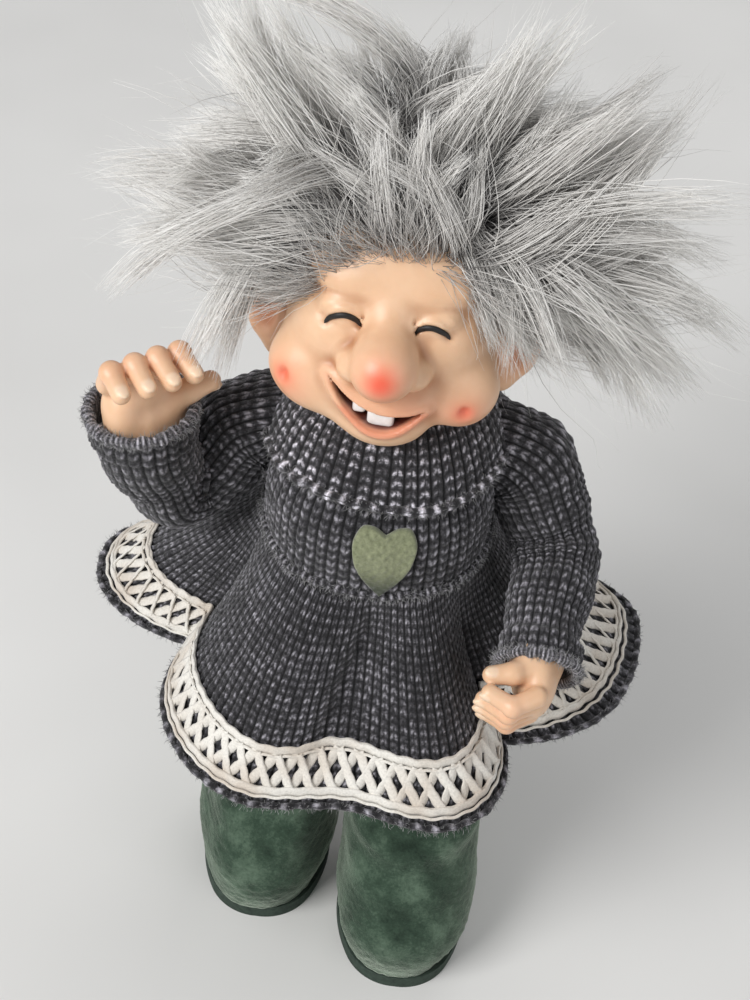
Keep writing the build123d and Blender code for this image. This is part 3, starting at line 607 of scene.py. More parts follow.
def knit_material(name, dark, pale):
    """Heathered yarn in pale flecks with fluff over all, and painted light: painted highlight on the crests
    of the stitches and painted shade in the grooves.
    """
    look = Look(name, 0.92, Sheen_Weight=0.25, Sheen_Roughness=0.5, Specular_IOR_Level=0.15)
    leg = look.math("FLOOR", look.math("MULTIPLY", look.tone("rib"), 2.0))
    stitch = look.math("FLOOR", look.tone("stitch"))
    cell = look.node("ShaderNodeCombineXYZ", {"X": leg, "Y": stitch}).outputs[0]
    shade = look.node("ShaderNodeTexWhiteNoise", {"Vector": cell}, noise_dimensions="2D").outputs["Value"]
    fleck = look.math("ADD", look.math("MULTIPLY", shade, 0.36), 0.56)
    # Painted light: the crest tone lightens the crests and darkens the grooves of the ribs.
    level = look.math("MULTIPLY", look.tone("rise"), fleck)
    fluff = look.noise(1300.0, 4.0, 0.75)
    patch = look.noise(55.0, 2.0)
    for texture, weight in ((fluff, 1.0), (patch, 0.3)):
        level = look.math("ADD", level, look.math("MULTIPLY", look.math("SUBTRACT", texture, 0.5), weight))
    stops = [(0.05, 0.010 * dark), (0.32, 0.030 * dark), (0.52, 0.085 * dark)]
    stops += [(0.74, 0.24 * pale), (0.95, 0.46 * pale)]
    look.bump(fluff, 0.7, 0.0008)
    return look.paint(look.ramp(level, *[(at, (v * 1.01, v * 0.97, v * 1.07)) for at, v in stops]))


def skin_material():
    """Satin cast skin with airbrushed blush, lips and nails, and painted brown shade in the creases."""
    look = Look("cast_skin", 0.42, Coat_Weight=0.08, Coat_Roughness=0.3, Subsurface_Weight=0.12,
                Subsurface_Radius=(0.004, 0.002, 0.001), Subsurface_Scale=1.0)
    colour = look.ramp(look.noise(120.0), (0.3, (0.74, 0.46, 0.28)), (0.7, (0.80, 0.53, 0.34)))
    layers = {
        # Painted shade: brown darkening in the creases and hollows.
        "crease_shade": (0.40, 0.16, 0.065),
        "flush": (0.80, 0.30, 0.17),
        "lips": (0.72, 0.22, 0.12),
        "blush": (0.82, 0.10, 0.05),
        "mouth": (0.11, 0.022, 0.012),
        "nail": (0.86, 0.63, 0.45),
    }
    for label, shade in layers.items():
        colour = look.mix(look.tone(label), colour, (*shade, 1.0))
    look.bump(look.noise(700.0, 2.0), 0.08, 0.0003)
    return look.paint(colour)


def enamel_material(name, roughness, scale, low, high, end=0.7, **values):
    """Paint or enamel, faintly streaked in two shades."""
    look = Look(name, roughness, **values)
    return look.paint(look.ramp(look.noise(scale), (0.3, low), (end, high)))


def hair_material(name, root, middle, tip):
    """Fibre that is dark at its root and pale at its tip, each with a shade of its own."""
    look = Look(name, 0.42, Sheen_Weight=0.2, Specular_IOR_Level=0.45)
    colour = look.ramp(look.tone("along"), (0.0, root), (0.12, root), (0.4, middle), (1.0, tip))
    shades = (0.0, (0.52, 0.51, 0.51)), (0.5, (0.86, 0.85, 0.84)), (1.0, (1, 1, 1))
    return look.paint(look.mix(1.0, colour, look.ramp(look.tone("own"), *shades), "MULTIPLY"))


def lace_material():
    """Ivory crochet cotton with its twisted thread."""
    look = Look("lace_cotton", 0.85, Sheen_Weight=0.3)
    grain = look.noise(1500.0)
    colour = look.ramp(look.noise(60.0, 2.0), (0.35, (0.64, 0.57, 0.49)), (0.6, (0.79, 0.76, 0.70)))
    shade = look.ramp(grain, (0.3, (0.82, 0.82, 0.82)), (0.6, (1, 1, 1)))
    look.bump(grain, 0.5, 0.0004)
    return look.paint(look.mix(1.0, colour, shade, "MULTIPLY"))


def felt_material():
    """Olive felt, with painted shade that darkens it towards the heart's point."""
    look = Look("olive_felt", 0.95, Sheen_Weight=0.5, Sheen_Roughness=0.5)
    fibre = look.noise(800.0, 5.0, 0.7)
    colour = look.ramp(fibre, (0.3, (0.13, 0.145, 0.075)), (0.7, (0.27, 0.29, 0.17)))
    look.bump(fibre, 0.6, 0.0006)
    # Painted shade: the fade tone mixes in a near-black green towards the point.
    return look.paint(look.mix(look.tone("fade"), colour, (0.022, 0.030, 0.012, 1.0)))


def velvet_material():
    """Dark green brushed felt, its nap lying lighter in patches."""
    look = Look("green_felt", 0.9, Sheen_Weight=0.7, Sheen_Roughness=0.4,
                Sheen_Tint=(0.8, 0.9, 0.75, 1.0), Specular_IOR_Level=0.15)
    patch = look.noise(85.0, 4.0, 0.6)
    fibre = look.noise(1100.0, 4.0, 0.7)
    level = look.math("ADD", look.math("MULTIPLY", patch, 0.75), look.math("MULTIPLY", fibre, 0.3))
    stops = (0.38, (0.016, 0.030, 0.020)), (0.52, (0.038, 0.066, 0.044)), (0.68, (0.10, 0.15, 0.105))
    look.bump(look.math("ADD", patch, fibre), 0.5, 0.0007)
    return look.paint(look.ramp(level, *stops))


def grained_material(name, low, high, scale, roughness, metallic=0.0):
    """A plain material with a fine grain of two shades."""
    look = Look(name, roughness, Metallic=metallic)
    grain = look.noise(scale, 5.0, 0.65)
    look.bump(grain, 0.4, 0.0002)
    return look.paint(look.ramp(grain, (0.3, low), (0.7, high)))


KNIT_DARK = knit_material("charcoal_knit", 0.8, 1.15)
# The collar's knit: the dress's charcoal yarn painted paler, as lit from above (painted highlight).
KNIT_COLLAR_LIT = knit_material("collar_knit_painted_light", 0.95, 2.3)
# Rolled edges: the same yarn painted paler, as where the roll catches the light (painted highlight).
KNIT_EDGE_LIT = knit_material("turned_edge_knit_lit", 1.8, 1.5)
FLUFF = hair_material("knit_fluff", (0.06, 0.06, 0.063), (0.26, 0.26, 0.265), (0.55, 0.55, 0.555))
SKIN = skin_material()
EYE_PAINT = enamel_material("eye_enamel", 0.55, 900.0, (0.004, 0.004, 0.004), (0.012, 0.011, 0.010), 0.8)
TOOTH = enamel_material("tooth_enamel", 0.22, 420.0, (0.80, 0.77, 0.72), (0.90, 0.90, 0.90), Coat_Weight=0.5)
HAIR = hair_material("fur_fibre", (0.12, 0.112, 0.108), (0.75, 0.73, 0.70), (0.98, 0.965, 0.935))
FRINGE = hair_material("fur_fringe", (0.42, 0.36, 0.32), (0.62, 0.59, 0.56), (0.90, 0.89, 0.86))
UNDERCOAT = hair_material("fur_undercoat", (0.10, 0.094, 0.092), (0.24, 0.23, 0.225), (0.50, 0.49, 0.48))
LACE = lace_material()
FELT = felt_material()
VELVET = velvet_material()
SOLE = grained_material("sole_felt", (0.016, 0.028, 0.020), (0.045, 0.070, 0.052), 600.0, 0.95)
LINEN = grained_material("stuffed_linen", (0.45, 0.38, 0.28), (0.60, 0.52, 0.40), 900.0, 0.9)
WIRE = grained_material("galvanised_wire", (0.42, 0.42, 0.43), (0.62, 0.62, 0.63), 500.0, 0.35, 1.0)
WOOD = grained_material("beech_dowel", (0.45, 0.28, 0.14), (0.62, 0.42, 0.24), 250.0, 0.6)
FIBRE = grained_material("pressed_fibre", (0.16, 0.10, 0.06), (0.26, 0.17, 0.10), 700.0, 0.8)


# Knitting


def knit_relief(rib, row, height):
    """Height, stitch and crest tone of ribbed knitting: round ribs of slanted stitches. The crest tone
    carries painted light: highlight on the crests, shade in the grooves.
    """
    across = np.abs(rib - np.floor(rib) - 0.5)
    stitch = row - STITCH_SLANT * across
    round_rib = np.sqrt(np.maximum(0, 1 - (2 * across) ** 2))
    groove = 0.3 * bell(across, 0.09)
    bead = 0.5 + 0.5 * np.cos(2 * pi * stitch)
    rise = (round_rib - groove) * (1 - STITCH_DEPTH * (1 - bead))
    return height * rise, stitch + 0.5, clamp(rise)


def knit_piece(
    name, grid, run, height=RIB_HEIGHT, samples=RIB_SAMPLES, dress=KNIT_DARK, thick=KNIT, flip=1
):
    """A knitted tube from a smooth grid of points: ribs outside, a plain wall inside."""
    rib = np.broadcast_to(np.arange(grid.shape[1]) / samples, grid.shape[:2])
    row = np.broadcast_to((run / STITCH_PITCH)[:, None], grid.shape[:2])
    normal = flip * grid_normals(grid)
    relief, stitch, rise = knit_relief(rib, row, height)
    uneven = 0.18 * ripple(grid, 6.0, len(name))
    outer = grid + normal * (relief + uneven - RIB_HEIGHT)[..., None]
    lining = np.linspace(len(grid) - 1, 0, len(grid) // LINING_STEP).round().astype(int)
    points = np.concatenate([outer, (grid - normal * thick)[lining]])
    tones = {"rib": rib, "stitch": stitch, "rise": rise}
    tones = {label: np.concatenate([values, values[lining]]) for label, values in tones.items()}
    faces = grid_faces(*points.shape[:2], over=True)[:, ::flip]
    return add_piece(name, points, faces, dress, "knit", tones)


def fluffy_edge(name, centres, outwards, radius, seed, body, dress=KNIT_EDGE_LIT):
    """A soft rolled edge along a closed line of points, with fine fluff standing out of it."""
    count = len(centres)
    along = unit(np.roll(centres, -1, 0) - np.roll(centres, 1, 0))
    side = unit(np.cross(along, outwards))
    ring = circles(unit(outwards), side, full_turn(EDGE_SIDES))
    points = centres[:, None] + ring * radius
    points = points + ring * (0.3 * radius * ripple(points, 3.0, seed))[..., None]
    rib, stitch = np.broadcast_arrays(np.arange(count)[:, None] / 4.0, np.arange(EDGE_SIDES) / 3.0)
    # The crest tone here paints light and shade in bands along the edge.
    tones = {"rib": rib, "stitch": stitch, "rise": 0.6 + 0.4 * np.sin(rib * 2 * pi)}
    edge = add_piece(name, points, grid_faces(count, EDGE_SIDES, over=True), dress, "knit", tones)
    draw = np.random.default_rng(seed)
    number = count * FLUFF_TO_POINT
    spot = draw.integers(0, count, number)
    angle = draw.uniform(-0.7 * pi, 0.7 * pi, number)[:, None]
    way = np.cos(angle) * unit(outwards)[spot] + np.sin(angle) * side[spot]
    way = unit(way + draw.normal(size=(number, 3)) * 0.45)
    roots = centres[spot] + way * radius * 0.7
    tips = roots + way * draw.uniform(0.8, 2.3, (number, 1))
    bends = (roots + tips) / 2 + draw.normal(size=(number, 3)) * 0.35
    own = clamp(draw.normal(0.55, 0.25, number))
    radii = draw.uniform(0.06, 0.11, number)
    fluff = strands(f"{name}_fluff", roots, bends, tips, radii, own, FLUFF, draw, 0.12, 4, "knit")
    return [settle(edge, body), settle(fluff, body)]


# Body, legs and boots


def body_row(heights, grow=0.0):
    """Half width, half depth and middle of the body at each height."""
    table = np.array(BODY_ROWS)
    row = hermite(table[:, 0], table[:, 1:], np.asarray(heights, float))
    return row[:, 0] + grow, row[:, 1] + grow, -row[:, 2]


def ovals(heights, half_x, half_y, x, y, columns):
    """Rows of full ovals, one at each height: their half sizes and their middles."""
    across, along = superellipse(full_turn(columns))
    x = x[:, None] + half_x[:, None] * across
    y = y[:, None] + half_y[:, None] * along
    return np.stack([x, y, np.broadcast_to(heights[:, None], x.shape)], -1)


def body_grid(heights, columns, grow):
    """The body's ovals, grown by some distance."""
    half_x, half_y, middle = body_row(heights, grow)
    return ovals(heights, half_x, half_y, np.zeros(len(heights)), middle, columns)


def front_of_body(x, z, grow):
    """How far forward the body's surface lies at places on its front."""
    half_x, half_y, middle = body_row(np.ravel(z), grow)
    across = np.clip(np.abs(np.ravel(x)) / half_x, 0, 0.999)
    return (middle - half_y * (1 - across**FULLNESS) ** (1 / FULLNESS)).reshape(np.shape(z))


def capped(grid):
    """Points and faces of a tube of rows, closed by a fan at both ends."""
    rows, columns = grid.shape[:2]
    points = np.concatenate([grid.reshape(-1, 3), grid[:1].mean(1), grid[-1:].mean(1)])
    ring = np.arange(columns)
    beside = (ring + 1) % columns
    low = np.stack([beside, ring, np.full(columns, rows * columns)], -1)
    last = (rows - 1) * columns
    high = np.stack([last + ring, last + beside, np.full(columns, rows * columns + 1)], -1)
    return points, [grid_faces(rows, columns), low, high]


def boot_rows(side, inset):
    """Ovals of one boot from its sole upwards: height, half widths and middle."""
    x = side * BOOT_X
    y = STANCE_Y - side * STRIDE / 2
    foot_x = BOOT_WIDTH / 2 - inset
    foot_y = BOOT_LENGTH / 2 - inset
    shaft = BOOT_SHAFT_RADIUS - inset
    bottom = SOLE_THICKNESS + inset
    ankle = shaft + BOOT_ANKLE_EASE
    return np.array([
        (bottom, foot_x - BOOT_SOLE_TUCK, foot_y - BOOT_SOLE_TUCK, x, y),
        (bottom + BOOT_WIDEST_RISE, foot_x, foot_y, x, y),
        (BOOT_TOE_HEIGHT, foot_x - BOOT_SOLE_TUCK / 2, foot_y - BOOT_TOE_SLOPE, x, y + BOOT_SET_BACK / 4),
        ((BOOT_TOE_HEIGHT + BOOT_HEIGHT) / 2, ankle, ankle, x, y + BOOT_SET_BACK),
        (BOOT_HEIGHT, shaft, shaft, x, y + BOOT_SET_BACK),
    ])


def row_grid(rows, heights, columns):
    """Ovals of a table of rows, read smoothly at each height."""
    return ovals(heights, *hermite(rows[:, 0], rows[:, 1:], heights).T, columns)


def make_boot(name, side):
    """A soft felt boot: full toe, soft creases at the ankle and an uneven nap."""
    heights = np.linspace(SOLE_THICKNESS, BOOT_HEIGHT, 130)
    grid = row_grid(boot_rows(side, 0.0), heights, BOOT_COLUMNS)
    ankle = bell(grid[..., 2] - ANKLE_Z, ANKLE_REACH)
    sag = 0.9 * ankle * np.sin(grid[..., 2] / 3.1 + 1.6 * ripple(grid, 40.0, 3 + side))
    nap = 0.8 * ripple(grid, 24.0, 5 + side) + 0.16 * ripple(grid, 2.6, 9 + side)
    outer = grid - grid_normals(grid) * (sag + nap - 0.5)[..., None]
    heights = np.linspace(BOOT_HEIGHT, BOOT_HEIGHT - BOOT_LINING, 14)
    lining = row_grid(boot_rows(side, BOOT_WALL), heights, BOOT_COLUMNS)
    points, faces = capped(np.concatenate([outer, lining]))
    boot = add_piece(f"{name}_felt_boot", points, faces, VELVET, "boot_felt")
    settle(boot, "body", f"{name}_boot")


def make_leg(name, side):
    """A stuffed linen leg between the boot and the hip."""
    width, depth, x, y = boot_rows(side, BOOT_WALL + 0.6)[-1, 1:]
    low, high = BOOT_HEIGHT - LEG_IN_BOOT, HIP_Z + LEG_IN_BODY
    rows = np.array([
        (low, width, depth, x, y),
        (BOOT_HEIGHT, width, depth, x, y),
        (high, LEG_TOP_RADIUS, LEG_TOP_RADIUS, x, y),
    ])
    grid = row_grid(rows, np.linspace(low, high, 24), 72)
    grid = grid - grid_normals(grid) * (0.5 * ripple(grid, 14.0, 21 + side))[..., None]
    leg = add_piece(f"{name}_stuffed_leg", *capped(grid), LINEN, "stuffing")
    settle(leg, "body", f"{name}_leg")


def make_body():
    """The stuffed linen body under the dress, a little uneven."""
    grid = body_grid(np.linspace(HIP_Z, NECK_Z - 0.5, 60), 96, -0.6)
    squeeze = 0.5 * ripple(grid, 18.0, 31)
    grid = grid - grid_normals(grid) * (squeeze - 0.4)[..., None]
    body = add_piece("stuffed_body", *capped(grid), LINEN, "stuffing")
    settle(body, "body", "torso")


# Dress


def fold_reach(azimuth):
    """Hem radius and flare of the skirt at each azimuth: broad flutes with sharp creases between."""
    table = np.array(HEM_FOLDS, float)
    table[:, 1] -= FOLD_DEEPER * (table[:, 1] < DEEP_FOLD)
    ends = np.concatenate([table, table[:1] + (360, 0, 0, 0)])
    azimuth = (azimuth - table[0, 0]) % 360 + table[0, 0]
    index = np.clip(np.searchsorted(ends[:, 0], azimuth, side="right") - 1, 0, len(table) - 1)
    start, end = ends[index], ends[index + 1]
    share = (azimuth - start[..., 0]) / (end[..., 0] - start[..., 0])
    out = start[..., 3] > 0
    away = np.where(out, share, 1 - share)
    soft = away**2 * (3 - 2 * away)
    valley = np.where(out, end[..., 1], start[..., 1])
    away = np.where(valley < DEEP_FOLD - FOLD_DEEPER, 0.8 * away**2.2 + 0.2 * soft, soft)
    share = np.where(out, away, 1 - away)
    fold = start + (end - start) * share[..., None]
    return fold[..., 1], fold[..., 2]


def skirt_surface(azimuth, drop, grow):
    """Points of the skirt at places given by their azimuth and their drop below the waist."""
    azimuth, drop = np.broadcast_arrays(np.asarray(azimuth, float), np.asarray(drop, float))
    hem, flare = fold_reach(azimuth)
    lean = np.radians(azimuth)
    half_x, half_y, _ = body_row(np.array([WAIST_Z]), KNIT + grow)
    waist = 1 / np.hypot(np.sin(lean) / half_x, np.cos(lean) / half_y)
    share = clamp(drop / SKIRT_LENGTH)
    reach = waist + (hem + grow - waist) * share**flare
    reach = reach + share * (0.6 * np.sin(lean * 7 + 0.7) + 0.4 * np.sin(lean * 11))
    away = azimuth - TUCK_AZIMUTH + TUCK_LEAN * share
    tuck = bell(away, np.where(away < 0, TUCK_SHARP, TUCK_SOFT))
    swell = bell(away + TUCK_SOFT, TUCK_SOFT)
    fade = np.sin(pi * clamp(share / TUCK_END))
    reach = reach + fade * (TUCK_SWELL * swell - TUCK_DEPTH * tuck)
    x = reach * np.sin(lean)
    y = -BELLY_FORWARD * (1 - share) - reach * np.cos(lean)
    return np.stack([x, y, WAIST_Z - drop], -1)


def even_azimuths(count):
    """Azimuths that divide the length of the hem evenly, and that length."""
    fine = np.linspace(HEM_FOLDS[0][0], HEM_FOLDS[0][0] + 360, 6001)
    hem = skirt_surface(fine, SKIRT_LENGTH * 0.8, 0.0)
    length = run_along(hem)
    return np.interp(np.arange(count) / count * length[-1], length, fine), length[-1]


def make_skirt():
    """The gathered skirt with its lace band and fluffy hem."""
    azimuth, hem_length = even_azimuths(SKIRT_RIBS * SKIRT_SAMPLES)
    drops = np.linspace(0.0, SKIRT_LENGTH - 0.8, SKIRT_ROWS)
    grid = skirt_surface(azimuth, drops[:, None], 0.6)
    run = run_along(grid)
    width = size_of(np.roll(grid, -1, 1) - grid).mean(1) * SKIRT_SAMPLES
    height = RIB_HEIGHT * np.clip(width / RIB_PITCH, 0.45, 1.1)[:, None]
    skirt = knit_piece("knitted_skirt", grid, run, height, SKIRT_SAMPLES, flip=-1)
    settle(skirt, "body", "skirt")

    edge = skirt_surface(azimuth[::2], SKIRT_LENGTH, -0.4)
    edge[:, 2] += 1.1
    hem = fluffy_edge("skirt_hem_edge", edge, unit(edge * (1, 1, 0)), 1.0, 41, "body", KNIT_DARK)
    lace = make_lace(hem_length)
    make_waist_seam()


def make_waist_seam():
    """The sewn ridge where the skirt joins the bodice."""
    turn = full_turn(SEAM_POINTS)
    ring = body_grid(np.array([WAIST_Z + 0.4]), SEAM_POINTS, KNIT + 0.1)[0]
    ring[:, 2] += 0.35 * np.sin(turn * 9) + 0.25 * np.sin(turn * 23)
    outward = unit((ring + (0, BELLY_FORWARD, 0)) * (1, 1, 0))
    fluffy_edge("waist_seam", ring, outward, 1.1, 43, "body", KNIT_DARK)


def make_lace(hem_length):
    """The crochet band: two edge braids and the crossing threads between them."""
    count = int(hem_length / LACE_SPACING)
    low = SKIRT_LENGTH - HEM_WIDTH
    top = low - LACE_WIDTH
    steps, sides = 13, 8
    turn = full_turn(sides)
    points = []
    faces = []

    def lay(azimuth, drop, wide, thick, lift, closed):
        """Rounded threads along lines of places on the skirt, one line in each row."""
        centres = skirt_surface(azimuth, drop, lift)
        outward = unit(skirt_surface(azimuth, drop, lift + 1) - centres)
        if closed:
            along = unit(np.roll(centres, -1, 1) - np.roll(centres, 1, 1))
        else:
            along = unit(np.gradient(centres, axis=1))
        across = unit(np.cross(along, outward))
        ring = circles(across * wide / 2, outward * thick / 2, turn)
        lines, length = centres.shape[:2]
        shift = sum(len(p) for p in points) + length * sides * np.arange(lines)
        points.append((centres[:, :, None] + ring).reshape(-1, 3))
        one = grid_faces(length, sides, over=closed)
        faces.append((one[None] + shift[:, None, None]).reshape(-1, 4))

    places = count * LACE_SAMPLES
    full = even_azimuths(places)[0]
    wave = 0.16 * np.cos(np.arange(places) / LACE_SAMPLES * 2 * pi)
    for middle, phase in ((top + LACE_BRAID / 2, 1), (low - LACE_BRAID / 2, -1)):
        lay(full[None], (middle + phase * wave)[None], LACE_BRAID, 1.3, 0.9, True)
        for edge in (-0.3, 0.3):
            lay(full[None], (middle + edge * LACE_BRAID + phase * wave)[None], 0.8, 1.0, 1.35, True)
    reach = np.linspace(0, LACE_SAMPLES, steps).round().astype(int)
    drop = np.linspace(top + LACE_BRAID * 0.7, low - LACE_BRAID * 0.7, steps)
    for way in (-1, 1):
        spots = (np.arange(0, places, LACE_SAMPLES)[:, None] + way * reach) % places
        lay(full[spots], drop, LACE_THREAD, 1.1, 0.9 + 0.2 * way, False)
    lace = add_piece("lace_band", np.concatenate(points), np.concatenate(faces), LACE, "lace")
    return settle(lace, "body", "lace_trim")


def make_bodice():
    """The knitted top of the dress, ribbed from the waist to the neckline."""
    columns = BODICE_RIBS * RIB_SAMPLES
    heights = np.linspace(WAIST_Z - 1.0, NECKLINE_Z, 84)
    grid = body_grid(heights, columns, KNIT + 0.5)
    length = run_along(grid[0])
    even = np.arange(columns) / columns * length[-1]
    turn = np.interp(even, length, np.linspace(0, 1, columns)) * columns
    looped = np.concatenate([grid, grid[:, :1]], 1)
    for row, line in zip(grid, looped):
        for axis in range(3):
            row[:, axis] = np.interp(turn, np.arange(columns + 1), line[:, axis])
    settle(knit_piece("knitted_bodice", grid, heights - WAIST_Z), "body", "bodice")


def make_collar():
    """The roll neck, folded over and standing a little away from the bodice."""
    turn = full_turn(COLLAR_RIBS * RIB_SAMPLES)
    across, along = superellipse(turn, COLLAR_FULLNESS)
    last = len(COLLAR_PROFILE) - 1
    places = np.linspace(0, last, 80)
    line = hermite(np.arange(last + 1), COLLAR_PROFILE, places)
    droop = (np.clip(places - 4, 0, None) / 3)[:, None]
    wave = droop * 0.5 * (0.9 * np.sin(turn * 2 + 0.6) + 0.7 * np.sin(turn * 5 + 1.0))
    x = (line[:, 1:2] + wave) * across
    y = -line[:, 3:4] + (line[:, 2:3] + wave) * along
    z = line[:, 0:1] + droop * 0.9 * np.sin(turn * 3 + 2.0)
    grid = np.stack([x, y, z], -1)
    run = run_along(grid)
    # The collar and its edge wear the knit painted paler, as lit (painted highlight).
    collar = knit_piece("turned_collar", grid, run, dress=KNIT_COLLAR_LIT, thick=COLLAR_THICKNESS, flip=-1)
    settle(collar, "body", "collar")
    edge = grid[-1, ::2]
    outward = unit((edge - edge.mean(0)) * (1, 1, 0))
    fluffy_edge("collar_edge", edge - outward * 0.5, outward, 1.3, 47, "body", KNIT_COLLAR_LIT)


def make_heart():
    """The felt heart, thick and soft at its edge, lying on the front of the bodice."""
    rings, columns = 26, 160
    half = np.array(HEART_HALF)
    chord = run_along(half)
    right = hermite(chord, half, np.linspace(0, chord[-1], columns // 2, endpoint=False))
    left = hermite(chord, half, np.linspace(chord[-1], 0, columns // 2, endpoint=False)) * (-1, 1)
    outline_x, outline_z = np.concatenate([right, left]).T
    middle_z = 0.6
    size = np.concatenate([np.linspace(0.04, 0.94, rings - 6), [0.97, 0.99, 1.0, 1.0, 0.99, 0.97]])
    rise = np.concatenate([np.full(rings - 6, 1.0), [0.96, 0.85, 0.65, 0.35, 0.12, 0.0]])
    x = HEART_X + size[:, None] * outline_x[None, :] * HEART_WIDTH / 2
    share = middle_z + size[:, None] * (outline_z - middle_z)[None, :]
    z = HEART_Z + share * HEART_HEIGHT
    lift = KNIT + 0.2 + rise[:, None] * HEART_THICKNESS
    y = front_of_body(x, z, KNIT) + KNIT - lift
    grid = np.stack([x, y, z], -1)
    fuzz = 0.12 * ripple(grid, 1.5, 51) + 0.2 * ripple(grid, 9.0, 52)
    grid[..., 1] -= fuzz * rise[:, None]
    points = np.concatenate([grid.reshape(-1, 3), grid[:1].mean(1)])
    ring = np.arange(columns)
    fan = np.stack([(ring + 1) % columns, ring, np.full(columns, rings * columns)], -1)
    # Painted shade: fade darkens the lower part of the heart, most at its point.
    tones = {"fade": np.append(clamp((0.48 - share) / 0.36), 0.0)}
    heart = add_piece("felt_heart", points, [grid_faces(rings, columns), fan], FELT, "felt", tones)
    settle(heart, "body", "heart")


# Arms and hands


def arm_points(name):
    """Side, shoulder, elbow and cuff of an arm, and the way its forearm points."""
    side, upper, fore = ARMS[name]
    shoulder = np.array((side * SHOULDER_X, 0.0, SHOULDER_Z))
    elbow = shoulder + unit(upper) * UPPER_ARM
    wrist = elbow + unit(fore) * FOREARM
    return side, shoulder, elbow, wrist, unit(fore)


def make_sleeve(name):
    """A knitted sleeve from inside the bodice, round the elbow to its turned cuff."""
    side, shoulder, elbow, wrist, fore = arm_points(name)
    upper = unit(elbow - shoulder)
    onward = unit(HANDS[name][0])
    cuff_end = wrist + onward * CUFF_OVER[name]
    knots = np.array([
        (side * 21.0, 0.0, SHOULDER_Z + 1.0),
        (side * 30.0, -0.5, SHOULDER_Z + 1.5),
        shoulder + upper * 3,
        shoulder + upper * UPPER_ARM * 0.55,
        elbow - upper * 5 + fore * 1.5,
        elbow + fore * 6.5 - upper * 0.5,
        elbow + fore * FOREARM * 0.6,
        wrist - fore * 3,
        cuff_end,
    ])
    chord = run_along(knots)
    places = np.linspace(0, chord[-1], 180)
    path = hermite(chord, knots, places)
    end = CUFF_RADII[name]
    radii = (*SLEEVE_RADII, (SLEEVE_RADII[-1] + end) / 2, end, end)
    radius = hermite(chord, radii, places)[:, 0]
    heading = unit(np.gradient(path, axis=0))
    reference = np.array((0.0, 1.0, 0.0)) if name == "right" else np.array((1.0, 0.0, 0.0))
    frames = []
    for way in heading:
        reference = unit(reference - way * (reference @ way))
        frames.append(reference)
    first = np.array(frames)
    second = np.cross(heading, first)
    turn = full_turn(SLEEVE_RIBS * RIB_SAMPLES)
    ring = circles(first, second, turn)
    crook = bell(places / chord[-1] - 0.55, 0.16)
    cuff = clamp((places - (chord[-1] - CUFF_LENGTH)) / 1.6)
    grid = path[:, None] + ring * (radius + cuff * CUFF_THICKNESS)[:, None, None]
    slack = (crook * 1.1 * np.sin(places / 2.4))[:, None] * (0.6 + 0.4 * np.sin(turn * 2 + side))
    slack = slack + 0.7 * ripple(grid, 16.0, 61 + side) * (1 - cuff)[:, None]
    grid = grid + ring * slack[..., None]
    sleeve = knit_piece(f"{name}_knitted_sleeve", grid, places)
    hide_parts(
        f"{name}_upper_sleeve", f"{name}_fore_sleeve", f"{name}_upper_wadding", f"{name}_fore_wadding"
    )
    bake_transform(sleeve)

    outward = circles(first[-1], second[-1], full_turn(260))
    centres = cuff_end + outward * (end + CUFF_THICKNESS - 0.9) + onward * 0.1
    # The cuff's rolled edge takes the knit painted paler, as lit.
    fluffy_edge(f"{name}_cuff_edge", centres, outward, 1.5, 71 + side, f"{name}_forearm")


